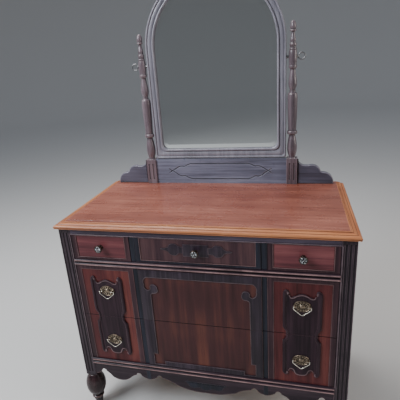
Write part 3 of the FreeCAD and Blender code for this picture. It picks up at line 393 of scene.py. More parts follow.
def metalMaterial(name, color, dull, rough, pits):
    # Pressed or cast metal: bright on the high spots as polish and painted highlight, brown
    # in the hollows as tarnish and painted shade, and brown in spots.
    material, make, where = newMaterial(name)
    spots = noise(make, where, 160, None, 5, 0.7)
    brown = maths(make, "MAXIMUM", ramp(make, spots, [(0.42, 0.0), (0.68, pits)]), marked(make, "hollow"))
    bright = tuple(min(1, 1.45 * shade) for shade in color)
    tint = blendColor(make, brown, color, dull)
    tint = blendColor(make, maths(make, "MULTIPLY", marked(make, "rubbed"), 0.8), tint, bright)
    bump = make("Bump", Strength=0.2, Distance=0.0002, Height=spots).outputs[0]
    shader = make("BsdfPrincipled", Base_Color=tint, Roughness=between(make, spots, rough), Normal=bump,
                  Metallic=1.0)
    make("OutputMaterial", Surface=shader.outputs[0])
    return material


def glassMaterial(name):
    # A silvered plate, a little grey, with faint spots of foxing.
    material, make, where = newMaterial(name)
    foxing = ramp(make, noise(make, where, 90, None, 6, 0.75), [(0.68, 0.0), (0.78, 0.5)])
    tint = blendColor(make, foxing, (0.80, 0.82, 0.81), (0.35, 0.33, 0.28))
    shader = make("BsdfPrincipled", Base_Color=tint, Metallic=1.0, Roughness=0.03)
    make("OutputMaterial", Surface=shader.outputs[0])
    return material


# shapes shared by several pieces

def bowed(points, pitch=2.5):
    # Closed outline through (x, z, bow). A bow is the rise of the arc to the next point
    # over half its chord and swells to the right of the way round; 0 is a straight run.
    runs = []
    for here, following in zip(points, points[1:] + points[:1]):
        start, chord = np.array(here[:2], float), np.array(following[:2], float) - np.array(here[:2], float)
        length, bow = np.linalg.norm(chord), here[2] if len(here) > 2 else 0
        if length < 1e-6:
            continue
        if abs(bow) < 1e-4:
            share = np.linspace(0, 1, max(1, int(length / pitch / 2)), endpoint=False)[:, None]
            runs.append(start + share * chord)
            continue
        turn = 2 * math.atan(bow)
        along, side = chord / length, np.array([chord[1], -chord[0]]) / length
        radius = length / 2 / math.sin(turn)
        sweep = np.linspace(-turn, turn, max(5, int(abs(2 * turn * radius) / pitch)), endpoint=False)[:, None]
        runs.append(start + chord / 2 - side * radius * math.cos(turn)
                    + radius * (np.cos(sweep) * side + np.sin(sweep) * along))
    return np.concatenate(runs)


def walkedBack(run):
    # The same points from last to first. A bow belongs to the stretch after its point, so
    # each point takes the bow of the one before it.
    return [(x, z, run[i - 1][2]) for i, (x, z, _) in reversed(list(enumerate(run)))]


def mirrored(half, about=0.0):
    # The mirror image of a right-hand run of (x, z, bow), put before it.
    half = [point if len(point) > 2 else (*point, 0) for point in half]
    image = [(2 * about - x, z, bow) for x, z, bow in walkedBack(half)]
    image[-1] = (*image[-1][:2], 0)
    if abs(half[-1][0] - about) < 1e-6:
        half = half[:-1] + [(*half[-1][:2], image[0][2])]
        image = image[1:]
    if abs(half[0][0] - about) < 1e-6:
        image = image[:-1]
    return image + half


def turnedOver(loop, level):
    # The same outline upside down about a level, still walked anticlockwise.
    return [(x, 2 * level - z, bow) for x, z, bow in walkedBack(loop)]


def inset(outline, distance):
    # Moves each point of an anticlockwise outline inwards along the mean of the normals
    # of its two sides.
    edge = np.roll(outline, -1, 0) - outline
    normal = np.stack([-edge[:, 1], edge[:, 0]], 1) / np.maximum(np.linalg.norm(edge, axis=1), 1e-9)[:, None]
    mean = normal + np.roll(normal, 1, 0)
    mean /= np.maximum((mean * normal).sum(1), 0.7)[:, None]
    return outline + distance * mean


def reliefShell(outline, stations):
    # A board cut to an outline in the XZ plane: stations are (inset, y) from the back
    # edge round to the middle of the front, and the last one is filled flat.
    rings = [np.insert(inset(outline, depth), 1, y, axis=1) for depth, y in stations]
    marks = lineWearAndShade(stations, closed=False)
    marks[-1] = 0
    return ringShell(np.array(rings), marks=marks[:, None])


def easedEdge(front, back, radius, steps=4):
    # Stations of a plain board whose front arris is a quarter round.
    turn = np.linspace(0, math.pi / 2, steps + 1)
    arris = list(zip(radius * (1 - np.cos(turn)), front + radius * (1 - np.sin(turn))))
    return [(0, back), (0, front + radius + 1.5)] + arris + [(radius + 1.5, front)]


def smoothRun(points, steps=6):
    # A smooth curve through points: a cubic on each stretch whose end slopes are those
    # of the chord between its neighbours.
    points = np.array(points, float)
    if len(points) < 3:
        return points
    gaps = np.maximum(np.linalg.norm(np.diff(points, axis=0), axis=1), 1e-6)
    place = np.concatenate([[0], np.cumsum(gaps)])
    slope = np.gradient(points, place, axis=0)
    at = np.concatenate([np.linspace(place[i], place[i + 1], steps, endpoint=False) for i in range(len(gaps))]
                        + [place[-1:]])
    i = np.clip(np.searchsorted(place, at, "right") - 1, 0, len(gaps) - 1)
    t, gap = ((at - place[i]) / gaps[i])[:, None], gaps[i][:, None]
    return ((2 * t**3 - 3 * t**2 + 1) * points[i] + (t**3 - 2 * t**2 + t) * gap * slope[i]
            + (3 * t**2 - 2 * t**3) * points[i + 1] + (t**3 - t**2) * gap * slope[i + 1])


def turnedShell(centre, axis, runs, around=56, steps=6):
    # Turned work: runs of (radius, height) along the axis, each smooth in itself, meet
    # at sharp lines. Heights go up along Z, to the right along X and forwards from Y.
    profile = np.concatenate([smoothRun(run, steps) for run in runs])
    profile[:, 0] = np.maximum(profile[:, 0], 0.02)
    angle = np.linspace(0, 2 * math.pi, around, endpoint=False)
    first, second, third, way = {"X": (1, 2, 0, 1), "Y": (0, 2, 1, -1), "Z": (0, 1, 2, 1)}[axis]
    rings = np.zeros((len(profile), around, 3))
    rings[..., first] = profile[:, 0, None] * np.cos(angle)
    rings[..., second] = profile[:, 0, None] * np.sin(angle)
    rings[..., third] = way * profile[:, 1, None]
    marks = lineWearAndShade(profile, closed=False, reach=3.5, scale=1.1)
    return ringShell(rings + np.array(centre, float), marks=marks[:, None])


def otherSide(shell, about=0.0):
    # The mirror image of a shell, left for right.
    points, faces, marks = shell
    return points * [-1, 1, 1] + [2 * about, 0, 0], [face[::-1] for face in faces], marks


def carvedSlab(xs, zs, depth, front, back):
    # A board whose front is the surface y = front + depth(x, z) on a grid.
    x, z = np.meshgrid(xs, zs)
    sunk = depth(x, z)
    face = np.stack([x, front + sunk, z], -1)
    rear = np.stack([x[:, [-1, 0]], np.full((len(zs), 2), back), z[:, [-1, 0]]], -1)
    marks = np.concatenate([faceWearAndShade(xs, zs, sunk, scale=0.45), np.zeros((len(zs), 2, 2))], 1)
    return ringShell(np.concatenate([face, rear], 1), marks=marks)


def gridLines(low, high, edges, near, pitch=60.0):
    # Grid lines from low to high: coarse ones, and a cluster at distances near from each edge.
    coarse = np.linspace(low, high, max(2, int((high - low) / pitch) + 1))
    fine = (np.array(edges, float)[:, None] + np.array(near)).ravel()
    lines = np.unique(np.round(np.concatenate([coarse, fine[(fine > low) & (fine < high)]]), 3))
    return lines[np.concatenate([[True], np.diff(lines) > 0.02])]


def runShell(section, axis, first, last, tops=None):
    # A section carried straight along X or Y, from first to last, each of which may be a
    # value for every point of the section where the end is cut at a slope. With tops, only
    # what stands within that distance of the foremost point gets wear and painted highlight.
    section = np.array(section, float)
    rings = np.zeros((2, len(section), 3))
    rings[:, :, 0 if axis == "X" else 1] = [first + 0 * section[:, 0], last + 0 * section[:, 0]]
    rings[:, :, 1 if axis == "X" else 0] = section[:, 0]
    rings[:, :, 2] = section[:, 1]
    marks = lineWearAndShade(section, scale=0.5)
    if tops:
        marks[:, 0] = np.clip(1 - (section[:, 0] - section[:, 0].min()) / tops, 0, 1)
    return ringShell(rings, marks=marks[None])


def tubeShell(path, radius, around=12, closed=False, flatness=1.0, wear=0.6, outlined=0.0):
    # A rod along a path in an XZ plane, with an oval section. Its front is lightened as wear
    # and painted highlight by the given amount, and its two sides are darkened as much as
    # outlined says, as a painted shadow line where the rod meets the board.
    path = np.array(path, float)
    if closed:
        ahead, behind = np.roll(path, -1, 0), np.roll(path, 1, 0)
    else:
        ahead, behind = np.vstack([path[1:], path[-1:]]), np.vstack([path[:1], path[:-1]])
    along = ahead - behind
    along /= np.linalg.norm(along, axis=1)[:, None]
    across = np.stack([along[:, 2], 0 * along[:, 0], -along[:, 0]], 1)
    angle = np.linspace(0, 2 * math.pi, around, endpoint=False)[None, :, None]
    size = np.broadcast_to(np.array(radius, float), (len(path),))[:, None, None]
    spoke = np.cos(angle) * across[:, None] + flatness * np.sin(angle) * np.array([0, 1, 0])
    wear = np.broadcast_to(np.array(wear, float), (len(path),))[:, None]
    front = np.clip(-np.sin(angle[0, :, 0]), 0, 1)**2
    sides = np.clip(np.abs(np.cos(angle[0, :, 0])) * 4 - 2.8, 0, 1)
    marks = np.stack([wear * front, outlined * sides + 0 * wear], -1)
    return ringShell(path[:, None] + size * spoke, closed, marks)


def embossedShell(centre, half, height, around=128, steps=40):
    # Pressed metal: an oval whose height is a function of how far out a point is, from 0
    # to 1, and of its angle. Its marks compare each point with its neighbours' average.
    out = np.concatenate([[1.0], np.linspace(1, 0.02, steps)])
    angle = np.linspace(0, 2 * math.pi, around, endpoint=False)
    s, t = np.meshgrid(out, angle, indexing="ij")
    rise = height(s, t)
    rise[0] = 0
    level = rise.copy()
    for _ in range(24):
        padded = np.vstack([level[:1], level, level[-1:]])
        level = (level + padded[:-2] + padded[2:] + np.roll(level, 1, 1) + np.roll(level, -1, 1)) / 5
    marks = marksOf(rise - level, 0.35)
    marks[:2] = 0
    x, z = centre[0] + half[0] * s * np.cos(t), centre[2] + half[1] * s * np.sin(t)
    return ringShell(np.stack([x, centre[1] - rise, z], -1), marks=marks)


topWood = woodMaterial("top mahogany", "top")
frontEdgeWood = woodMaterial("front edge mahogany", "edge")
sideEdgeWood = woodMaterial("side edge mahogany", "edge", "Y")
legWood = woodMaterial("leg walnut", "case")
footWood = woodMaterial("turned foot walnut", "foot")
railWood = woodMaterial("rail walnut", "rail")
friezeWoodPaintedSheen = woodMaterial("frieze walnut with painted sheen", "frieze")
frameWoodPaintedSheen = woodMaterial("mirror frame walnut with painted sheen", "frame")
standRailWoodPaintedSheen = woodMaterial("stand rail walnut with painted sheen", "stand")
postWoodPaintedSheen = woodMaterial("turned post walnut with painted sheen", "post")
wingWoodPaintedSheen = woodMaterial("wing walnut with painted sheen", "wing")
frameBlack = woodMaterial("carved frame wood", "carving")
blackWood = woodMaterial("ebonised wood", "black")
shieldWood = woodMaterial("stained shield wood", "shield")
rawWood = woodMaterial("plain inside wood", "raw")
boxWood = boxMaterial("plain drawer wood")
veneerWood = veneerMaterial("matched veneer")
brass = metalMaterial("antique brass", (0.235, 0.182, 0.130), (0.016, 0.013, 0.011), (0.26, 0.46), 0.8)
bailBrass = metalMaterial("rubbed bail brass", (0.62, 0.58, 0.50), (0.16, 0.13, 0.09), (0.18, 0.32), 0.5)
knobSilver = metalMaterial("worn knob face", (0.27, 0.27, 0.275), (0.009, 0.009, 0.010), (0.20, 0.34), 0.75)
knobBronze = metalMaterial("dark knob bronze", (0.075, 0.055, 0.045), (0.03, 0.022, 0.018), (0.30, 0.48), 0.5)
steel = metalMaterial("plated steel", (0.21, 0.21, 0.215), (0.10, 0.08, 0.07), (0.28, 0.48), 0.6)
silvered = glassMaterial("silvered glass")
print("materials made")

# the first finish whose word begins a node's name is its own
finishes = [(("top_edge_front",), frontEdgeWood), (("top_edge",), sideEdgeWood), (("top_panel",), topWood),
            (("stand_rail",), standRailWoodPaintedSheen), (("stand_wings",), wingWoodPaintedSheen), (("stand_post",), postWoodPaintedSheen),
            (("mirror_frame",), frameWoodPaintedSheen), (("mirror_glass",), silvered),
            (("front_leg", "rear_leg", "side_panel"), legWood),
            (("frieze", "mid_rail", "lower_rail", "apron", "side_rails"), railWood),
            (("upper_overlays", "lower_overlays", "stile"), blackWood),
            (("upper_bail", "lower_bail"), bailBrass), (("upper_pull", "lower_pull"), brass),
            (("left_knob", "centre_knob", "right_knob"), knobBronze),
            (("pivot_plates", "batten_screws", "thumbscrew"), steel)]
for node in nodes.values():
    chosen = [finish for starts, finish in finishes if node.name.startswith(starts)]
    if node.name.endswith("drawer_front"):
        chosen = [veneerWood]
    if node.name.endswith("drawer_box"):
        chosen = [boxWood]
    node.data.materials.clear()
    node.data.materials.append(chosen[0] if chosen else rawWood)


# the top and its edge moulding

top = {"half": 559.0, "front": -291.0, "back": 281.0, "panelHalf": 525.0, "panelFront": -257.0,
       "face": 920.0, "under": 898.0, "lineAt": -242.0, "lineHalf": 0.8, "lineDepth": 0.9}
# inset from the outer face, and depth under the top face
edgeSection = [(34, 0), (31.2, 0), (30.6, 1.1), (30.0, 1.1), (29.4, 0), (27.5, 0), (27.0, 0.3), (27.0, 1.5),
               (26.2, 1.7), (23, 2.1), (20, 2.7), (17, 3.7), (14.6, 5.0), (13.6, 6.4), (12.8, 6.9),
               (11.4, 6.7), (10, 6.8), (8, 6.9), (6, 7.3), (4, 8.1), (2.2, 9.4), (0.9, 11.4), (0.4, 13.4),
               (0.8, 15.4), (2.2, 17.0), (2.6, 17.6), (1.6, 18.4), (1.4, 20.0), (2.6, 21.4), (4.4, 22),
               (34, 22)]


def linedTop(x, y):
    # A fine V groove along the front of the panel.
    return top["lineDepth"] * np.clip(1 - np.abs(y - top["lineAt"]) / top["lineHalf"], 0, 1)


# a slab is carved on its front, so the panel is made standing and then laid down
near = [-1.6, -0.8, -0.4, 0, 0.4, 0.8, 1.6]
panelYs = gridLines(top["panelFront"], top["back"], [top["lineAt"]], near)
panelXs = np.array([-top["panelHalf"], 0, top["panelHalf"]])
points, faces, marks = carvedSlab(panelXs, panelYs, linedTop, 0.0, top["face"] - top["under"])
points = np.stack([points[:, 0], points[:, 2], top["face"] - points[:, 1]], 1)
makePiece("lined_top_panel", [(points, faces, marks)], topWood, "case", ["top_panel"])

depths, drops = np.array(edgeSection).T
section = np.stack([top["front"] + depths, top["face"] - drops], 1)
frontEdge = runShell(section, "X", depths - top["half"], top["half"] - depths)
makePiece("moulded_front_edge", [frontEdge], frontEdgeWood, "case", ["top_edge_front"], 25)
section = np.stack([top["half"] - depths, top["face"] - drops], 1)
sideEdge = runShell(section, "Y", top["front"] + depths, top["back"])
makePiece("moulded_right_edge", [sideEdge], sideEdgeWood, "case", ["top_edge_right"], 25)
makePiece("moulded_left_edge", [otherSide(sideEdge)], sideEdgeWood, "case", ["top_edge_left"], 25)
print("top made")


# legs: square posts with stopped flutes, on turned feet

post = {"width": 48.5, "arris": 1.4, "flute": 7.5, "pitch": 14.0, "depth": 2.6, "bead": 6.0, "beadDeep": 0.75,
        "quirk": 1.6, "quirkDeep": 1.8, "shift": 3.8, "margin": 18.0, "beadSpan": (282.0, 871.0)}


def fluteDepth(x, z, cut):
    # Half-round grooves with round ends: an oval bowl in x and in how far z is beyond
    # the straight part of the groove.
    radius = post["flute"] / 2
    centres = cut["middle"] + (np.arange(cut["count"]) - (cut["count"] - 1) / 2) * cut["pitch"]
    nearest = np.abs(x[..., None] - centres).min(-1)
    beyond = np.maximum(0, np.maximum(cut["low"] + radius - z, z - cut["high"] + radius))
    return post["depth"] * np.sqrt(np.maximum(0, 1 - (nearest**2 + beyond**2) / radius**2))


def squarePost(centre, width, low, high, cut=None, beadSide=0):
    # A square post as rings up its height. Its front is cut by flutes and by a bead with
    # a quirk beside it, and its other three sides are plain with rounded arrises.
    half, ease = width / 2, post["arris"]
    corner = half - ease
    across = np.linspace(-corner, corner, 131)
    heights = [low, low + 0.6, high - 0.6, high]
    if cut:
        ends = np.concatenate([np.linspace(0, 4, 11), [5, 8]])
        heights = np.concatenate([heights, cut["low"] + ends, cut["high"] - ends])
    if beadSide:
        start, stop = post["beadSpan"]
        heights = np.concatenate([heights, [start, start + 0.5, stop - 0.5, stop]])
    heights = np.unique(heights)
    x, z = np.meshgrid(across, heights)
    depth = fluteDepth(x, z, cut) if cut else 0 * x
    if beadSide:
        inner, radius = half - beadSide * x, post["bead"] / 2
        bead = post["beadDeep"] * (radius - np.sqrt(np.maximum(0, radius**2 - (inner - radius)**2)))
        reach = (inner - post["bead"]) / (post["quirk"] / 2) - 1
        groove = post["quirkDeep"] * np.sqrt(np.clip(1 - reach**2, 0, 1))
        depth = depth + np.where((z > start) & (z < stop), np.where(inner < post["bead"], bead, groove), 0)
    turn = np.linspace(0, math.pi / 2, 5)
    # the other three sides and the arrises between them, as (x, y) and how much wear and
    # painted highlight each has
    rest, rubbed = [], []
    for step in range(4):
        begin = (step - 1) * math.pi / 2
        diagonal = begin + math.pi / 4
        middle = corner * math.sqrt(2) * np.array([math.cos(diagonal), math.sin(diagonal)])
        arc = middle + ease * np.stack([np.cos(begin + turn), np.sin(begin + turn)], 1)
        along = np.array([-math.cos(begin), -math.sin(begin)])
        rest += [*arc, arc[-1] + 1.2 * along, arc[-1] + (2 * corner - 1.2) * along]
        rubbed += [0, 0.6, 0.9, 0.6, 0.3, 0, 0]
    rest, rubbed = np.array(rest[1:-3]), np.array(rubbed[1:-3])
    size = (len(heights), len(rest))
    others = np.broadcast_to(rest[None], (*size, 2))
    others = np.concatenate([others, np.broadcast_to(heights[:, None, None], (*size, 1))], -1)
    rings = np.concatenate([np.stack([x, -half + depth, z], -1), others], 1)
    ends = (heights == low) | (heights == high)
    rings[..., :2] *= np.where(ends, 1 - 0.6 / half, 1.0)[:, None, None]
    marks = faceWearAndShade(across, heights, depth) * [0.5, 1]
    if beadSide:
        onBead = ((z > start) & (z < stop)) * np.exp(-((inner - radius) / 1.5)**2)
        marks[..., 0] = np.maximum(marks[..., 0], onBead)
    marks = np.concatenate([marks, np.broadcast_to(np.stack([rubbed, 0 * rubbed], -1)[None], (*size, 2))], 1)
    return ringShell(rings + np.array([centre[0], centre[1], 0]), marks=marks)


# runs of (radius, height) from the floor: toe, taper, collar, neck, ball and necking
foot = {"top": 183.0, "around": 64, "runs": [
    [(0.02, 0), (10, 0)],
    [(10, 0), (13.2, 1.6), (14.4, 4.5)],
    [(14.4, 4.5), (16.5, 16), (19.2, 30), (21.4, 42)],
    [(21.4, 42), (21.6, 45)],
    [(23, 45.5), (26, 48), (26.6, 51.5), (25.6, 55.5), (23, 57.5)],
    [(21.8, 58), (22, 62), (24, 66)],
    [(24, 66), (32, 75), (39.3, 91), (42.7, 109), (43, 126), (40.5, 143), (34.5, 159), (28, 170),
     (24.3, 176)],
    [(22.4, 177), (21.6, 180), (22, 183.4)]]}


def makeLeg(row, side, word):
    # A front leg is fluted and has its bead beside the drawers, and a rear leg is plain.
    node = f"{row}_leg_{word}"
    low, high = boxOf(node)
    centre, head = (low + high) / 2, high[2]
    cut = {"low": foot["top"] + post["margin"], "high": head - post["margin"], "count": 3,
           "pitch": post["pitch"], "middle": side * post["shift"]}
    fluted = {"cut": cut, "beadSide": -side} if row == "front" else {}
    shell = squarePost(centre, post["width"], foot["top"], head, **fluted)
    turned = turnedShell((centre[0], centre[1], 0), "Z", foot["runs"], foot["around"])
    leg = makePiece(f"{row}_{word}_leg", [shell, turned], legWood, "case", [node])
    leg.data.materials.append(footWood)
    slots = (np.arange(len(leg.data.polygons)) >= len(shell[1])).astype(np.int32)
    leg.data.polygons.foreach_set("material_index", slots)


for side, word in ((-1, "left"), (1, "right")):
    for row in ("front", "rear"):
        makeLeg(row, side, word)
print("legs made")


# case rails: the frieze with its cock bead, and two rails with double beads

rail = {"half": 500.0, "face": -272.0, "back": -212.0, "friezeDeep": 24.0, "cockBead": 3.6, "gap": 4.0}


def halfRound(y, low, high, rise=None, steps=12):
    # Points of a bead from high down to low that stands out in front of y.
    turn = np.linspace(0, math.pi, steps + 1)
    radius = (high - low) / 2
    return [(y - (rise or radius) * math.sin(a), (low + high) / 2 + radius * math.cos(a)) for a in turn]


low, high = boxOf("frieze_rail")
face, under = low[1], low[2]
section = [(face + rail["friezeDeep"], under), (face + rail["friezeDeep"], high[2]), (face, high[2]),
           (face, under + 5.2), (face + 0.9, under + 4.9), (face + 0.9, under + 3.9)]
section += halfRound(face + 0.3, under, under + rail["cockBead"], 1.9, 8)
# the cock bead's front gets wear and a painted highlight line
frieze = runShell(section, "X", -rail["half"], rail["half"], 0.7)
makePiece("beaded_frieze", [frieze], friezeWoodPaintedSheen, "case", ["frieze_rail"])
for name in ("mid_rail", "lower_rail"):
    low, high = boxOf(name)
    bead = (high[2] - low[2] - rail["gap"]) / 2
    section = [(rail["back"], low[2]), (rail["back"], high[2])]
    section += halfRound(rail["face"], high[2] - bead, high[2])
    section += [(rail["face"], low[2] + bead + 2)] + halfRound(rail["face"], low[2], low[2] + bead)
    beaded = runShell(section, "X", -rail["half"], rail["half"], 1.0)
    makePiece("double_beaded_" + name, [beaded], railWood, "case", [name])
print("rails made")


# veneered drawer fronts

# under, over and lowerTop are beyond the ends of a long front, so what reaches them runs out
front = {"face": -272.0, "back": -252.0, "sunk": 1.5, "step": 0.25, "bead": 2.6, "rise": 0.9, "ease": 1.2,
         "under": 240.0, "over": 800.0, "lowerTop": 560.0}


def reachOutside(x, z, box):
    # How far a point is outside a rectangle, less than nothing inside it, with mitred corners.
    x0, x1, z0, z1 = box
    return np.maximum(np.abs(x - (x0 + x1) / 2) - (x1 - x0) / 2, np.abs(z - (z0 + z1) / 2) - (z1 - z0) / 2)


def frontDepth(x, z, whole, panels, channels):
    # Panels and channels are sunk behind a steep step. A half-round bead stands round
    # each panel, and the front's own edges are rounded over.
    depth = 0 * x
    radius = front["bead"] / 2
    for box in panels:
        out = reachOutside(x, z, box)
        bead = front["rise"] * np.sqrt(np.clip(1 - ((out - radius) / radius)**2, 0, 1))
        depth = depth - bead + front["sunk"] * np.clip(-out / front["step"], 0, 1)
    for box in channels:
        sunk = front["sunk"] * np.clip(-reachOutside(x, z, box) / front["step"], 0, 1)
        depth = np.maximum(depth, sunk)
    edge = np.clip(1 + reachOutside(x, z, whole) / front["ease"], 0, 1)
    return depth + front["ease"] * (1 - np.sqrt(1 - np.minimum(edge, 0.999)**2)) * 0.9


def veneeredFront(name, panels, channels=()):
    # The grid lines crowd at every step, bead and edge.
    low, high = boxOf(name)
    whole = (low[0], high[0], low[2], high[2])
    near = [-1.2, -0.25, 0, 0.1, 0.35, 0.75, 1.3, 1.85, 2.25, 2.5, 2.6, 3.8]
    near = sorted(set(near) | {-step for step in near})
    edges = np.array([0, 0.15, 0.4, 0.75, 1.2, 2.4])
    lines = []
    for axis in (0, 2):
        steps = [end for box in [*panels, *channels] for end in box[axis:axis + 2]]
        grid = gridLines(low[axis], high[axis], steps, near)
        lines.append(np.unique(np.concatenate([grid, low[axis] + edges, high[axis] - edges])))

    def depth(x, z):
        return frontDepth(x, z, whole, panels, channels)
    return carvedSlab(*lines, depth, front["face"], front["back"])


def makeFront(name, panels, channels=()):
    shell = veneeredFront(name + "_drawer_front", panels, channels)
    makePiece(name + "_veneered_front", [shell], veneerWood, name + "_drawer",
              [name + "_drawer_front"], 40)


def sideBoxes(ends, bottom, head):
    # A rectangle on each side of the middle, as (x, x, z, z).
    near, far = ends
    return [(-far, -near, bottom, head), (near, far, bottom, head)]


leftPanel, rightPanel = sideBoxes(veneers["panel"], *veneers["rowPanel"])
half = veneers["centrePanel"]
makeFront("left", [leftPanel])
makeFront("right", [rightPanel])
makeFront("centre", [(-half, half, *veneers["rowPanel"])])
for word, panelTop in (("upper", veneers["longTop"]), ("lower", front["lowerTop"])):
    panels = sideBoxes(veneers["panel"], front["under"], panelTop)
    channels = sideBoxes(veneers["channel"], front["under"], front["over"])
    makeFront(word, panels, channels)
print("drawer fronts made")


# thin ornament in front of the drawer fronts and the apron

def proud(*stations):
    # Stations of (inset, y) from how far each one stands out.
    return [(depth, front["face"] - rise) for depth, rise in stations]


def raised(line, rise):
    # A line of (x, z) that stands so far out, as (x, y, z).
    return np.insert(line, 1, front["face"] - rise, axis=1)


# apron: its section is carried along the scalloped edge

apron = {"front": -272.0, "back": -254.0, "top": 250.0, "round": 4.0, "end": 499.9,
         "rubbed": [0.05, 0.15, 0.35, 0.5, 0.5, 0.4, 0.2],
         "half": [(0, 164, 0.12), (126, 185, -0.12), (188, 211, -0.9), (212, 211, 0.1), (234.5, 198, 0.2),
                  (258.5, 198, 0.1), (282, 211, -0.9), (306, 211, -0.1), (337, 189, 0.35), (419, 183, -0.1),
                  (446, 211, -0.9), (470, 211, 0.25), (500, 190, 0)]}
edge = bowed(mirrored(apron["half"]), 1.8)
edge = edge[:int(np.argmax(edge[:, 0] >= apron["end"])) + 1]
turn = np.linspace(0, math.pi / 2, len(apron["rubbed"]))
lip = np.stack([apron["front"] + apron["round"] * (1 - np.sin(turn)), apron["round"] * (1 - np.cos(turn))], 1)
section = np.concatenate([[(apron["back"], 0), (apron["front"] + 6, 0)], lip,
                          [(apron["front"], 6.5), (apron["front"], 10)]])
rings = np.zeros((len(edge), len(section) + 2, 3))
rings[:, :, 0] = edge[:, 0, None]
rings[:, :, 1] = np.concatenate([section[:, 0], [apron["front"], apron["back"]]])
rings[:, :, 2] = edge[:, 1, None] + np.concatenate([section[:, 1], [0, 0]])
rings[:, -2:, 2] = apron["top"]
marks = np.zeros((len(section) + 2, 2))
# the rounded lip is lightened as wear and painted highlight
marks[2:2 + len(lip), 0] = apron["rubbed"]
makePiece("scalloped_apron", [ringShell(rings, marks=marks[None])], railWood, "case", ["apron"])

inlay = {"stations": proud((0, -1.0), (0, 0.6), (0.5, 1.0), (2.4, 1.0), (3.0, 0.7), (5.0, 0.7)),
         "half": [(0, 181, 0.3), (20, 189, -0.2), (46, 186, 0.3), (72, 196, -0.3), (88, 214, 0),
                  (88, 218, 0)],
         "stripStations": proud((0, -1.0), (0, 0.6), (0.5, 1.0), (1.5, 1.0)),
         "strip": [(237.5, 201.5), (255.5, 201.5), (255.5, 249.5), (237.5, 249.5)]}
middlePiece = reliefShell(bowed(mirrored(inlay["half"]), 2.2), inlay["stations"])
strip = reliefShell(bowed(inlay["strip"], 3.0), inlay["stripStations"])
makePiece("apron_inlay", [middlePiece, otherSide(strip), strip], blackWood, "case")
print("apron made")


# carved overlays: the frame of the middle, and half shields at the sides

overlay = {"level": {"upper": 506.75, "lower": 505.25}, "crest": {"upper": 172, "lower": 185},
           "middle": 378.0, "scroll": (200.0, 738.0), "frameInner": 191.0, "frameOuter": 236.0,
           "beadInset": 1.5, "rodRise": 2.3, "beadRise": 2.4,
           "board": proud((0, -0.2), (0, 2.1), (0.15, 2.4), (0.45, 2.5)),
           "shield": proud((0, -1.6), (0, 1.6), (0.2, 2.2), (0.6, 2.5))}


def shieldHalf(level, crest, middle):
    # Waist, shoulder, side, ear, valley and crest of half a shield.
    half = [(56, 0, 0), (56, 14, -0.41), (68, 27, 0), (68, 169, 0.2), (62, 183, 0.8), (48, 177, -0.3),
            (42, 152, 0.1), (20, crest - 8, 0.2), (0, crest, 0)]
    return [(middle + across, level + height, bow) for across, height, bow in half]


def columnRod(level, middle, up):
    # The raised side of a shield: from the waist round the shoulder and up to a curled
    # ear, as the middle line of a flat rod and its half width.
    line = smoothRun([(50.5, 1), (50.8, 10), (54, 18), (60, 28), (61.4, 40), (61.4, 100), (61.4, 160),
                      (61.2, 168), (59.4, 175), (55.4, 178.6), (51.4, 177), (50, 172.6), (51.8, 169.4)], 5)
    share = np.linspace(0, 1, len(line))
    half = np.interp(share, [0, 0.12, 0.3, 0.72, 0.85, 1], [4.4, 5.2, 6.2, 6.2, 4.4, 2.6])
    # the curled ear is lightened strongly as wear and painted highlight, the shaft hardly, and the sides get
    # a painted shadow line
    wear = np.interp(share, [0, 0.74, 0.84, 1], [0.04, 0.04, 0.9, 1.0])
    path = raised(line * [1, up] + [middle, level], overlay["rodRise"])
    return tubeShell(path, half, 16, flatness=0.62, wear=wear, outlined=0.6)


def crestRib(level, middle, crest, up):
    # A wavy moulding that hangs between the two ears.
    half = [(46, 166), (40, 155), (31, 155), (17, crest - 8)]
    line = smoothRun([(-x, z) for x, z in half] + [(0, crest - 4)] + half[::-1], 8)
    path = raised(line * [1, up] + [middle, level], overlay["beadRise"])
    thick = 3.0 - 1.3 * (np.abs(line[:, 0]) / 46)**3
    # lightened all along as wear and a painted highlight line, with painted shadow lines at its sides
    return tubeShell(path, thick, 12, flatness=0.8, wear=1.0, outlined=1.0)


def frameHalves():
    # Right-hand halves of the frame above the seam and below it. The upper one begins
    # with its scroll, whose points are measured from the corner at overlay["scroll"].
    inner, outer = overlay["frameInner"], overlay["frameOuter"]
    upperSeam, lowerSeam = overlay["level"]["upper"], overlay["level"]["lower"]

    scroll = [(3.75, -35, -0.4), (15, -65, -0.4), (5, -90, -0.5), (-7.4, -80, 0.6), (-18.5, -65, 0.5),
              (-37, -80, 0.6), (-20, -104, -0.3), (-9, -113, 0)]
    across, head = overlay["scroll"]
    upper = [(across + right, head + up, bow) for right, up, bow in scroll]
    upper += [(inner, upperSeam, 0), (outer, upperSeam, 0), (outer, 735.5, 0)]
    lower = [(outer, 284.5, 0), (outer, lowerSeam, 0), (inner, lowerSeam, 0), (inner, 344, 0), (208, 344, 0),
             (208, 292, 0), (165, 292, 0), (165, 310, 0)]
    return upper, lower


def innerBead(outline, level, start):
    # A bead along the inner edge of the frame, from the seam round to the seam again.
    def nearest(loop, x):
        return int(np.argmin(np.abs(loop - [x, level]).sum(1)))
    turn = nearest(outline, start)
    stop = nearest(np.roll(outline, -turn, 0), -start) + 1
    line = np.roll(inset(outline, overlay["beadInset"]), -turn, 0)[:stop]
    line[[0, -1], 1] = level
    # its front gets wear and painted highlight, its sides painted shadow lines
    return tubeShell(raised(line, overlay["beadRise"]), 1.5, 10, wear=0.8, outlined=0.6)


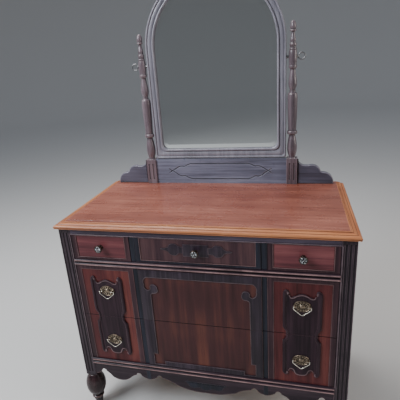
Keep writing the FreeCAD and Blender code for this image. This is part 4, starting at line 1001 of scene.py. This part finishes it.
for word, half, up in zip(("upper", "lower"), frameHalves(), (1, -1)):
    level, crest, middle = overlay["level"][word], overlay["crest"][word], overlay["middle"]
    loop = mirrored(shieldHalf(level, crest, middle), middle)
    loop = loop if up > 0 else turnedOver(loop, level)
    column = columnRod(level, middle, up)
    shells = [reliefShell(bowed(loop, 2.0), overlay["shield"]), column, otherSide(column, middle),
              crestRib(level, middle, crest, up)]
    outline = bowed(mirrored(half), 2.0)
    bead = innerBead(outline, level, -up * overlay["frameInner"])
    frameShells = [reliefShell(outline, overlay["board"]), bead]
    body = word + "_drawer"
    makePiece(word + "_carved_frame", frameShells, frameBlack, body, [word + "_overlays"])
    makePiece(word + "_carved_shields", shells + [otherSide(shell) for shell in shells], shieldWood, body)

# the small cartouche round the middle knob: an arm is a half above and its image below
cartouche = {"level": 828.0, "start": (46, 14),
             "above": [(55, 14, -0.3), (68, 19, 0.3), (86, 23.5, 0.3), (102, 15, -0.25), (112, 7, -0.2),
                       (122, 4, 0.2), (136, 0, 0)],
             "block": [(-48.0, 802.0), (48.0, 802.0), (48.0, 851.5), (-48.0, 851.5)],
             "stations": proud((0, -1.7), (0, 0), (0.2, 0.3), (0.5, 0.4)),
             "beadRise": 0.3, "beadInset": 0.9, "bead": 0.9}
run, level, (start, rise) = cartouche["above"], cartouche["level"], cartouche["start"]
below = [(start, level - rise, 0)] + [(x, level - z, bow) for x, z, bow in run[:-1]]
over = [(x, level + z, bow) for x, z, bow in walkedBack(run)[:-1]] + [(start, level + rise, 0)]
outline = bowed(below + over, 1.6)
line = raised(inset(outline, cartouche["beadInset"]), cartouche["beadRise"])
# the beads' fronts, here and on the block, are lightened as wear and painted highlight
bead = tubeShell(line, cartouche["bead"], 8, True, wear=0.5)
shells = [reliefShell(outline, cartouche["stations"]), bead]
shells += [otherSide(shell) for shell in shells]
block = np.array(cartouche["block"])
shells.append(reliefShell(block, cartouche["stations"]))
for corner, way in ((block[0], 1), (block[3], -1)):
    begin = corner + [0.5, way * cartouche["beadInset"]]
    line = raised(np.linspace(begin, begin * [-1, 1], 12), cartouche["beadRise"])
    shells.append(tubeShell(line, 1.0, 8, wear=0.5))
makePiece("centre_cartouche", shells, frameBlack, "centre_drawer")
print("overlays made")


# pressed pulls and their bails

pull = {"half": (31.0, 22.5), "petals": 14, "face": -274.5, "axis": -283.5, "span": 30.6, "drop": 5.0,
        "shoulder": 9.0, "turn": 50.0, "tip": 10.0, "wire": 1.7, "swell": 0.35, "posts": 25.0,
        "middle": 378.0, "heights": {"upper": 630.0, "lower": 395.0},
        "postRuns": [[(0.02, 0.6), (5.8, 0.6)], [(5.8, 0.6), (6.0, 2.0), (4.8, 3.2)],
                     [(3.4, 3.6), (3.1, 5.5), (3.5, 7.6)],
                     [(3.6, 7.6), (3.6, 10.2), (2.6, 11.6), (0.02, 12)]],
        "pinRuns": [[(0.02, 20), (1.5, 20)], [(1.5, 31.6), (1.2, 32.2), (0.02, 32.3)]]}


def pullRelief(s, t):
    # A raised rim, a hollow ring crossed by petals, a beaded ring and a domed middle.
    petal = np.abs(np.cos(pull["petals"] / 2 * t))
    rim = 1.6 * np.exp(-((s - 0.94) / 0.035)**2)
    leaves = 2.6 * petal**0.7 * np.exp(-((s - 0.70) / 0.14)**2)
    ring = 1.5 * np.exp(-((s - 0.44) / 0.035)**2) * (0.7 + 0.3 * np.cos(28 * t))
    dome = 4.4 * np.sqrt(np.clip(1 - (s / 0.34)**2, 0, 1))
    return (1.4 + rim + leaves + ring + dome) * np.clip((1 - s) / 0.03, 0.35, 1)


def bailPath(x, z):
    # Right side of the drop from its pin down, round the shoulder and the tip, then its
    # image. The shoulder and the tip are arcs, joined by a straight slope.
    turn = math.radians(pull["turn"])
    first, second = np.linspace(0, turn, 9)[:, None], np.linspace(turn, math.pi / 2, 9)[:, None]
    shoulder, tip, inner = pull["shoulder"], pull["tip"], pull["span"] - pull["shoulder"]
    fall = (inner + (shoulder - tip) * math.cos(turn)) / math.tan(turn)
    tipZ = -pull["drop"] - (shoulder - tip) * math.sin(turn) - fall
    curl = np.hstack([inner + shoulder * np.cos(first), -pull["drop"] - shoulder * np.sin(first)])
    bottom = np.hstack([tip * np.cos(second), tipZ - tip * np.sin(second)])
    between = curl[-1] + (bottom[0] - curl[-1]) * np.linspace(0, 1, 6)[1:-1, None]
    half = np.concatenate([[(pull["span"], 0), (pull["span"], -2.5)], curl, between, bottom])
    whole = np.concatenate([half, (half * [-1, 1])[::-1][1:]])
    return np.stack([x + whole[:, 0], np.full(len(whole), pull["axis"]), z + whole[:, 1]], 1)


def bailShells(x, z):
    # A pin through each post, and the drop between them, whose wire swells at the tip.
    path = bailPath(x, z)
    pin = turnedShell((x, pull["axis"], z), "X", pull["pinRuns"], 12)
    fromTip = np.arange(len(path)) - (len(path) - 1) / 2
    wire = pull["wire"] + pull["swell"] * np.exp(-(fromTip / 5)**2)
    return [otherSide(pin, x), pin, tubeShell(path, wire, 14, flatness=0.86)]


for drawer, z in pull["heights"].items():
    plates = []
    for side, word in ((-1, "left"), (1, "right")):
        x = side * pull["middle"]
        plates.append(embossedShell((x, pull["face"], z), pull["half"], pullRelief))
        for way in (-1, 1):
            centre = (x + way * pull["posts"], pull["face"], z)
            plates.append(turnedShell(centre, "Y", pull["postRuns"], 24))
        bail = f"{drawer}_bail_{word}"
        makePiece(f"{drawer}_{word}_bail", bailShells(x, z), bailBrass, bail, [bail])
    makePiece(drawer + "_pressed_plates", plates, brass, drawer + "_drawer",
              [drawer + "_pull_plates"])
print("pulls made")


# knobs: a dark turned body and a pressed rosette let into its face

knob = {"back": -270.5, "height": 822.8, "rosette": 11.8, "seat": 24.1, "apart": 378.0, "runs": [
    [(0.02, 0), (9, 0)],
    [(9, 0), (8.2, 3), (6.2, 7), (6, 11), (7.2, 14.5), (11, 17), (14.4, 18.6)],
    [(15.3, 19.4), (15.5, 21.5), (15.0, 23.6)],
    [(14.6, 24.6), (13.6, 25.4), (12.9, 24.6)],
    [(12.8, 24.0), (0.02, 24.0)]]}


def rosetteRelief(s, t):
    # Six petals that fall to the rim, parted by creases, round a raised button.
    petal = np.abs(np.cos(3 * t))**0.8
    fall = np.sqrt(np.clip(1 - (s / 1.04)**4, 0, 1)) * np.clip((s - 0.34) / 0.12, 0, 1)
    button = 4.6 * np.sqrt(np.clip(1 - (s / 0.30)**2, 0, 1))
    return np.maximum((0.2 + 3.3 * petal) * fall, button) + 0.3


for side, word in ((-1, "left"), (0, "centre"), (1, "right")):
    x, y, z = side * knob["apart"], knob["back"], knob["height"]
    body = turnedShell((x, y, z), "Y", knob["runs"], 64)
    makePiece(word + "_knob_body", [body], knobBronze, word + "_drawer", [word + "_knob"], 40)
    face = embossedShell((x, y - knob["seat"], z), (knob["rosette"],) * 2, rosetteRelief, 96, 28)
    makePiece(word + "_knob_rosette", [face], knobSilver, word + "_drawer", (), 50)
print("knobs made")


# posts of the mirror stand: a square block with two flutes runs up into turned work;
# the runs are (radius, height above the top face)

stand = {"foot": 920.0, "block": 118.0, "width": 47.0, "around": 56,
         "cut": {"low": 940.0, "high": 1018.0, "count": 2, "pitch": 19.5, "middle": 0.0}, "runs": [
    [(0.02, 118), (15, 118)],
    [(15, 118), (14.2, 121), (16, 130), (19.4, 143), (21, 158), (20.4, 176), (17.4, 200), (13.8, 219),
     (13.6, 223)],
    [(13.6, 223), (18.5, 224), (21.6, 228), (22, 232), (21.4, 237), (18.6, 240.5)],
    [(16.8, 241), (17.2, 252), (18.6, 285), (20, 325), (20.5, 362), (20.4, 390), (19, 398), (14.6, 403)],
    [(13.2, 404), (12.8, 406), (13, 410)],
    [(11.2, 411), (11.8, 414), (15, 424), (17.5, 436), (16.6, 452), (13.4, 475), (10.6, 495)],
    [(10.6, 495), (13, 499), (16.6, 503), (17, 507.5), (16.4, 512)],
    [(15, 513.5), (15.4, 520), (16.8, 536), (17, 547), (16.6, 560), (15.2, 571)],
    [(13.4, 573), (14.2, 577), (13.4, 580)],
    [(12.2, 581), (12.6, 586)],
    [(12.8, 588), (14.2, 590), (14.4, 594), (13.6, 598)],
    [(11, 600), (10.6, 603), (11.2, 608), (11.4, 613)],
    [(11.4, 613), (9.6, 622), (7.4, 632), (6.6, 640)],
    [(6.6, 641), (10.4, 642.5), (12.6, 645.5), (12.2, 649), (10.2, 651)],
    [(10.2, 651), (12.2, 658), (12, 667), (9.8, 676), (6, 682), (1.2, 684), (0.02, 684.2)]]}
for word in ("left", "right"):
    low, high = boxOf("stand_post_" + word)
    centre = (low + high) / 2
    shell = squarePost(centre, stand["width"], stand["foot"], stand["foot"] + stand["block"], stand["cut"])
    turned = turnedShell((centre[0], centre[1], stand["foot"]), "Z", stand["runs"], stand["around"])
    makePiece("turned_post_" + word, [shell, turned], postWoodPaintedSheen, "case", ["stand_post_" + word])
print("stand posts made")


# mirror frame: one moulding carried round the arch

frameShape = {"half": 306.0, "foot": 1041.5, "arch": 1532.0, "wide": 38.0, "tall": 44.0,
              "corner": (6.0, 30.0)}
# inset and y, from the back round the outer bead, the cove and the inner bead to the rebate
moulding = [(0, 269.5), (0, 254), (0, 249.4), (0.6, 247.6), (2.0, 246.2), (4.0, 245.5), (6.0, 246.1),
            (7.4, 247.6), (8.0, 249.6), (8.6, 250.8), (9.4, 250.9), (10.4, 250.2), (13.0, 249.2),
            (17.0, 248.9), (21.0, 249.4), (24.5, 250.9), (27.0, 252.8), (28.4, 253.4), (29.0, 251.4),
            (29.6, 248.4), (31.0, 246.4), (33.2, 245.7), (35.4, 246.4), (37.0, 248.4), (38.0, 251.4),
            (38.0, 258.3), (30.6, 258.5), (30.5, 269.5)]


def archedLoop(depth, size=frameShape):
    # Round two lower corners, up a straight side and over a half circle, each with the
    # same share of the points whatever the inset.
    share = depth / size["wide"]
    half, sill = size["half"] - depth, size["foot"] + share * size["tall"]
    radius = size["corner"][0] + share * (size["corner"][1] - size["corner"][0])
    turn = np.linspace(0, math.pi / 2, 17)
    corner = np.stack([half - radius + radius * np.sin(turn), sill + radius - radius * np.cos(turn)], 1)
    arch = np.linspace(0, math.pi, 193)
    over = np.stack([half * np.cos(arch), size["arch"] + half * np.sin(arch)], 1)
    stretches = [corner[::-1] * [-1, 1], corner, over]
    rise = np.linspace(0, 1, 5)[1:-1, None]
    loop = []
    for here, following in zip(stretches, stretches[1:] + stretches[:1]):
        loop += [here, here[-1] + (following[0] - here[-1]) * rise]
    return np.concatenate(loop)


loops = np.array([np.insert(archedLoop(depth), 1, y, axis=1) for depth, y in moulding])
arched = ringShell(loops, True, lineWearAndShade(moulding)[:, None])
makePiece("moulded_mirror_frame", [arched], frameWoodPaintedSheen, "mirror", ["mirror_frame"], 28)
print("mirror frame made")


# wings and rail of the stand

wing = {"front": 242.0, "thick": 18.0, "edge": 4.0, "right": [
    (355.5, 920, 0), (511.5, 920, 0), (511.5, 928, 0.42), (463.5, 974, 0), (456.5, 977.5, 0.45),
    (404.5, 1005, 0), (388.5, 1005, -0.35), (355.5, 1038, 0)]}
wingEdge = easedEdge(wing["front"], wing["front"] + wing["thick"], wing["edge"])
rightWing = reliefShell(bowed(wing["right"], 2.0), wingEdge)
makePiece("scrolled_wings", [rightWing, otherSide(rightWing)], wingWoodPaintedSheen, "case",
          ["stand_wings"])

# the routed lines are (x, height above the top face); the lines at the ends cross
routed = {"depth": 2.6, "radius": 2.4, "level": 920.0, "rows": (22.0, 96.0), "lines": [
    [(-134, 96), (139, 96)],
    [(-134, 96), (-150, 90), (-166, 83), (-182, 84), (-196, 80), (-212, 70), (-229, 61), (-242, 52)],
    [(139, 96), (155, 90), (170, 83), (184, 84), (198, 80), (214, 70), (229, 61), (242, 52)],
    [(-242, 70), (-229, 61), (-212, 52), (-196, 40), (-182, 35), (-166, 36), (-150, 28), (-134, 22)],
    [(242, 70), (229, 61), (214, 52), (198, 40), (184, 35), (170, 36), (155, 28), (139, 22)],
    [(-134, 22), (139, 22)]]}


def routedDepth(x, z):
    # A half-round groove along the routed lines: each point takes its nearest stretch.
    away = np.full(x.shape, 1e9)
    for line in routed["lines"]:
        line = smoothRun(line, 4)
        for start, run in zip(line[:-1], np.diff(line, axis=0)):
            right, up = x - start[0], z - routed["level"] - start[1]
            share = np.clip((right * run[0] + up * run[1]) / (run @ run), 0, 1)
            away = np.minimum(away, np.hypot(right - share * run[0], up - share * run[1]))
    return routed["depth"] * np.sqrt(np.maximum(0, 1 - (away / routed["radius"])**2))


low, high = boxOf("stand_rail")
fine = np.arange(128, 248, 0.8)
railXs = np.concatenate([[low[0], low[0] + 2], -fine[::-1], np.linspace(-127, 127, 22), fine,
                         [high[0] - 2, high[0]]])
near = np.concatenate([routed["level"] + row + np.arange(-3.5, 3.6, 0.35) for row in routed["rows"]])
ends = [low[2], low[2] + 2, high[2] - 2, high[2]]
railZs = np.unique(np.concatenate([ends, near, np.arange(low[2] + 27, low[2] + 92, 0.9)]))
routedRail = carvedSlab(railXs, railZs, routedDepth, low[1], high[1])
makePiece("routed_stand_rail", [routedRail], standRailWoodPaintedSheen, "case", ["stand_rail"])
print("stand made")


# ring-headed thumbscrews

screw = {"axis": (257.5, 1467.0), "ring": 367.1, "mean": 13.5, "wire": 2.6, "runs": [
    [(0.02, 292), (2.6, 292)], [(3, 292.6), (3, 349.3)], [(5.6, 349.3), (7, 349.8)],
    [(7, 351.4), (6.2, 352.3), (4.4, 352.6)], [(3.4, 353), (3.0, 354), (0.02, 354.6)]]}
y, z = screw["axis"]
angle = np.linspace(0, 2 * math.pi, 48, endpoint=False)
ring = np.stack([screw["ring"] + screw["mean"] * np.cos(angle), y + 0 * angle,
                 z + screw["mean"] * np.sin(angle)], 1)
rightScrew = [turnedShell((0, y, z), "X", screw["runs"], 28), tubeShell(ring, screw["wire"], 14, True)]
leftScrew = [otherSide(shell) for shell in rightScrew]
for word, shells in (("right", rightScrew), ("left", leftScrew)):
    makePiece("ring_screw_" + word, shells, steel, "thumbscrew_" + word, ["thumbscrew_" + word])
print("thumbscrews made")


# stage: a round floor that sweeps up all about into a low wall, lights and camera

stage = {"flat": 10.0, "radius": 5.0, "rise": 8.0, "around": 96, "color": (0.58, 0.57, 0.55), "rough": 0.8,
         "skyLow": (0.445, 0.475, 0.51), "skyHigh": (0.80, 0.87, 1.0), "skyHeight": 0.4, "skyStrength": 0.36}
turn = np.linspace(0, math.pi / 2, 17)
sweep = stage["radius"] * np.stack([np.sin(turn), 1 - np.cos(turn)], 1) + [stage["flat"], 0]
sweep = np.concatenate([[(0.01, 0), (3, 0)], sweep, [(stage["flat"] + stage["radius"], stage["rise"])]])
angle = np.linspace(0, 2 * math.pi, stage["around"], endpoint=False)
points = np.stack([sweep[:, 0, None] * np.cos(angle), sweep[:, 0, None] * np.sin(angle),
                   sweep[:, 1, None] + 0 * angle], -1).reshape(-1, 3)
quads = ringQuads(len(sweep), stage["around"])[:, ::-1]
floorMesh = bpy.data.meshes.new("floor")
floorMesh.from_pydata(points.tolist(), [], quads.tolist() + [list(range(stage["around"]))])
floorMesh.shade_smooth()
floor = bpy.data.objects.new("floor", floorMesh)
bpy.context.scene.collection.objects.link(floor)
floorMaterial = bpy.data.materials.new("pale floor")
floorMaterial.use_nodes = True
floorShader = floorMaterial.node_tree.nodes["Principled BSDF"]
floorShader.inputs["Base Color"].default_value = (*stage["color"], 1)
floorShader.inputs["Roughness"].default_value = stage["rough"]
floorMesh.materials.append(floorMaterial)

world = bpy.data.worlds.new("studio")
bpy.context.scene.world = world
world.use_nodes = True
background = world.node_tree.nodes["Background"]
background.inputs["Strength"].default_value = stage["skyStrength"]
sky = world.node_tree.nodes.new("ShaderNodeTexCoord")
height = world.node_tree.nodes.new("ShaderNodeSeparateXYZ")
fade = world.node_tree.nodes.new("ShaderNodeValToRGB")
world.node_tree.links.new(sky.outputs["Generated"], height.inputs[0])
world.node_tree.links.new(height.outputs["Z"], fade.inputs[0])
world.node_tree.links.new(fade.outputs["Color"], background.inputs["Color"])
fade.color_ramp.elements[0].color = (*stage["skyLow"], 1)
fade.color_ramp.elements[1].color = (*stage["skyHigh"], 1)
fade.color_ramp.elements[1].position = stage["skyHeight"]

softboxes = {
    "key": {"place": (-2.6, -2.2, 3.4), "aim": (0, 0, 1.0), "size": (1.8, 1.8), "power": 190,
            "color": (0.87, 0.93, 1.0)},
    "fill": {"place": (3.0, 0.0, 1.9), "aim": (0, 0, 0.7), "size": (1.8, 1.8), "power": 50,
             "color": (1.0, 0.94, 0.88)},
    "above": {"place": (-1.0, 0.5, 3.4), "aim": (-0.1, 0, 0.9), "size": (2.4, 1.4), "power": 80,
              "color": (1.0, 0.97, 0.95)},
}
for name, box in softboxes.items():
    lamp = bpy.data.lights.new(name, "AREA")
    lamp.shape = "RECTANGLE"
    lamp.size, lamp.size_y = box["size"]
    lamp.energy = box["power"]
    lamp.color = box["color"]
    lampObject = bpy.data.objects.new(name, lamp)
    lampObject.location = box["place"]
    ray = Vector(box["aim"]) - Vector(box["place"])
    lampObject.rotation_euler = ray.to_track_quat("-Z", "Y").to_euler()
    bpy.context.scene.collection.objects.link(lampObject)

# pan is to the left, tilt downwards, and focal and centre are in pixels of the frame
view = {"place": (0.347, -1.498, 1.481), "pan": 0.2621, "tilt": 0.3278, "roll": -0.0726,
        "focal": 391.07, "centre": (195.89, 193.05), "frame": 400, "sensor": 36}
pan, tilt, roll = view["pan"], view["tilt"], view["roll"]
forward = Vector((-math.sin(pan) * math.cos(tilt), math.cos(pan) * math.cos(tilt), -math.sin(tilt)))
level = Vector((math.cos(pan), math.sin(pan), 0))
upright = level.cross(forward)
right = level * math.cos(roll) + upright * math.sin(roll)
above = upright * math.cos(roll) - level * math.sin(roll)
cameraData = bpy.data.cameras.new("camera")
cameraData.sensor_width = view["sensor"]
cameraData.lens = view["sensor"] * view["focal"] / view["frame"]
cameraData.shift_x = 0.5 - view["centre"][0] / view["frame"]
cameraData.shift_y = view["centre"][1] / view["frame"] - 0.5
camera = bpy.data.objects.new("camera", cameraData)
axes = Matrix((right, above, -forward)).transposed().to_4x4()
camera.matrix_world = Matrix.Translation(view["place"]) @ axes
bpy.context.scene.collection.objects.link(camera)
bpy.context.scene.camera = camera
print("stage set")

bpy.context.view_layer.update()
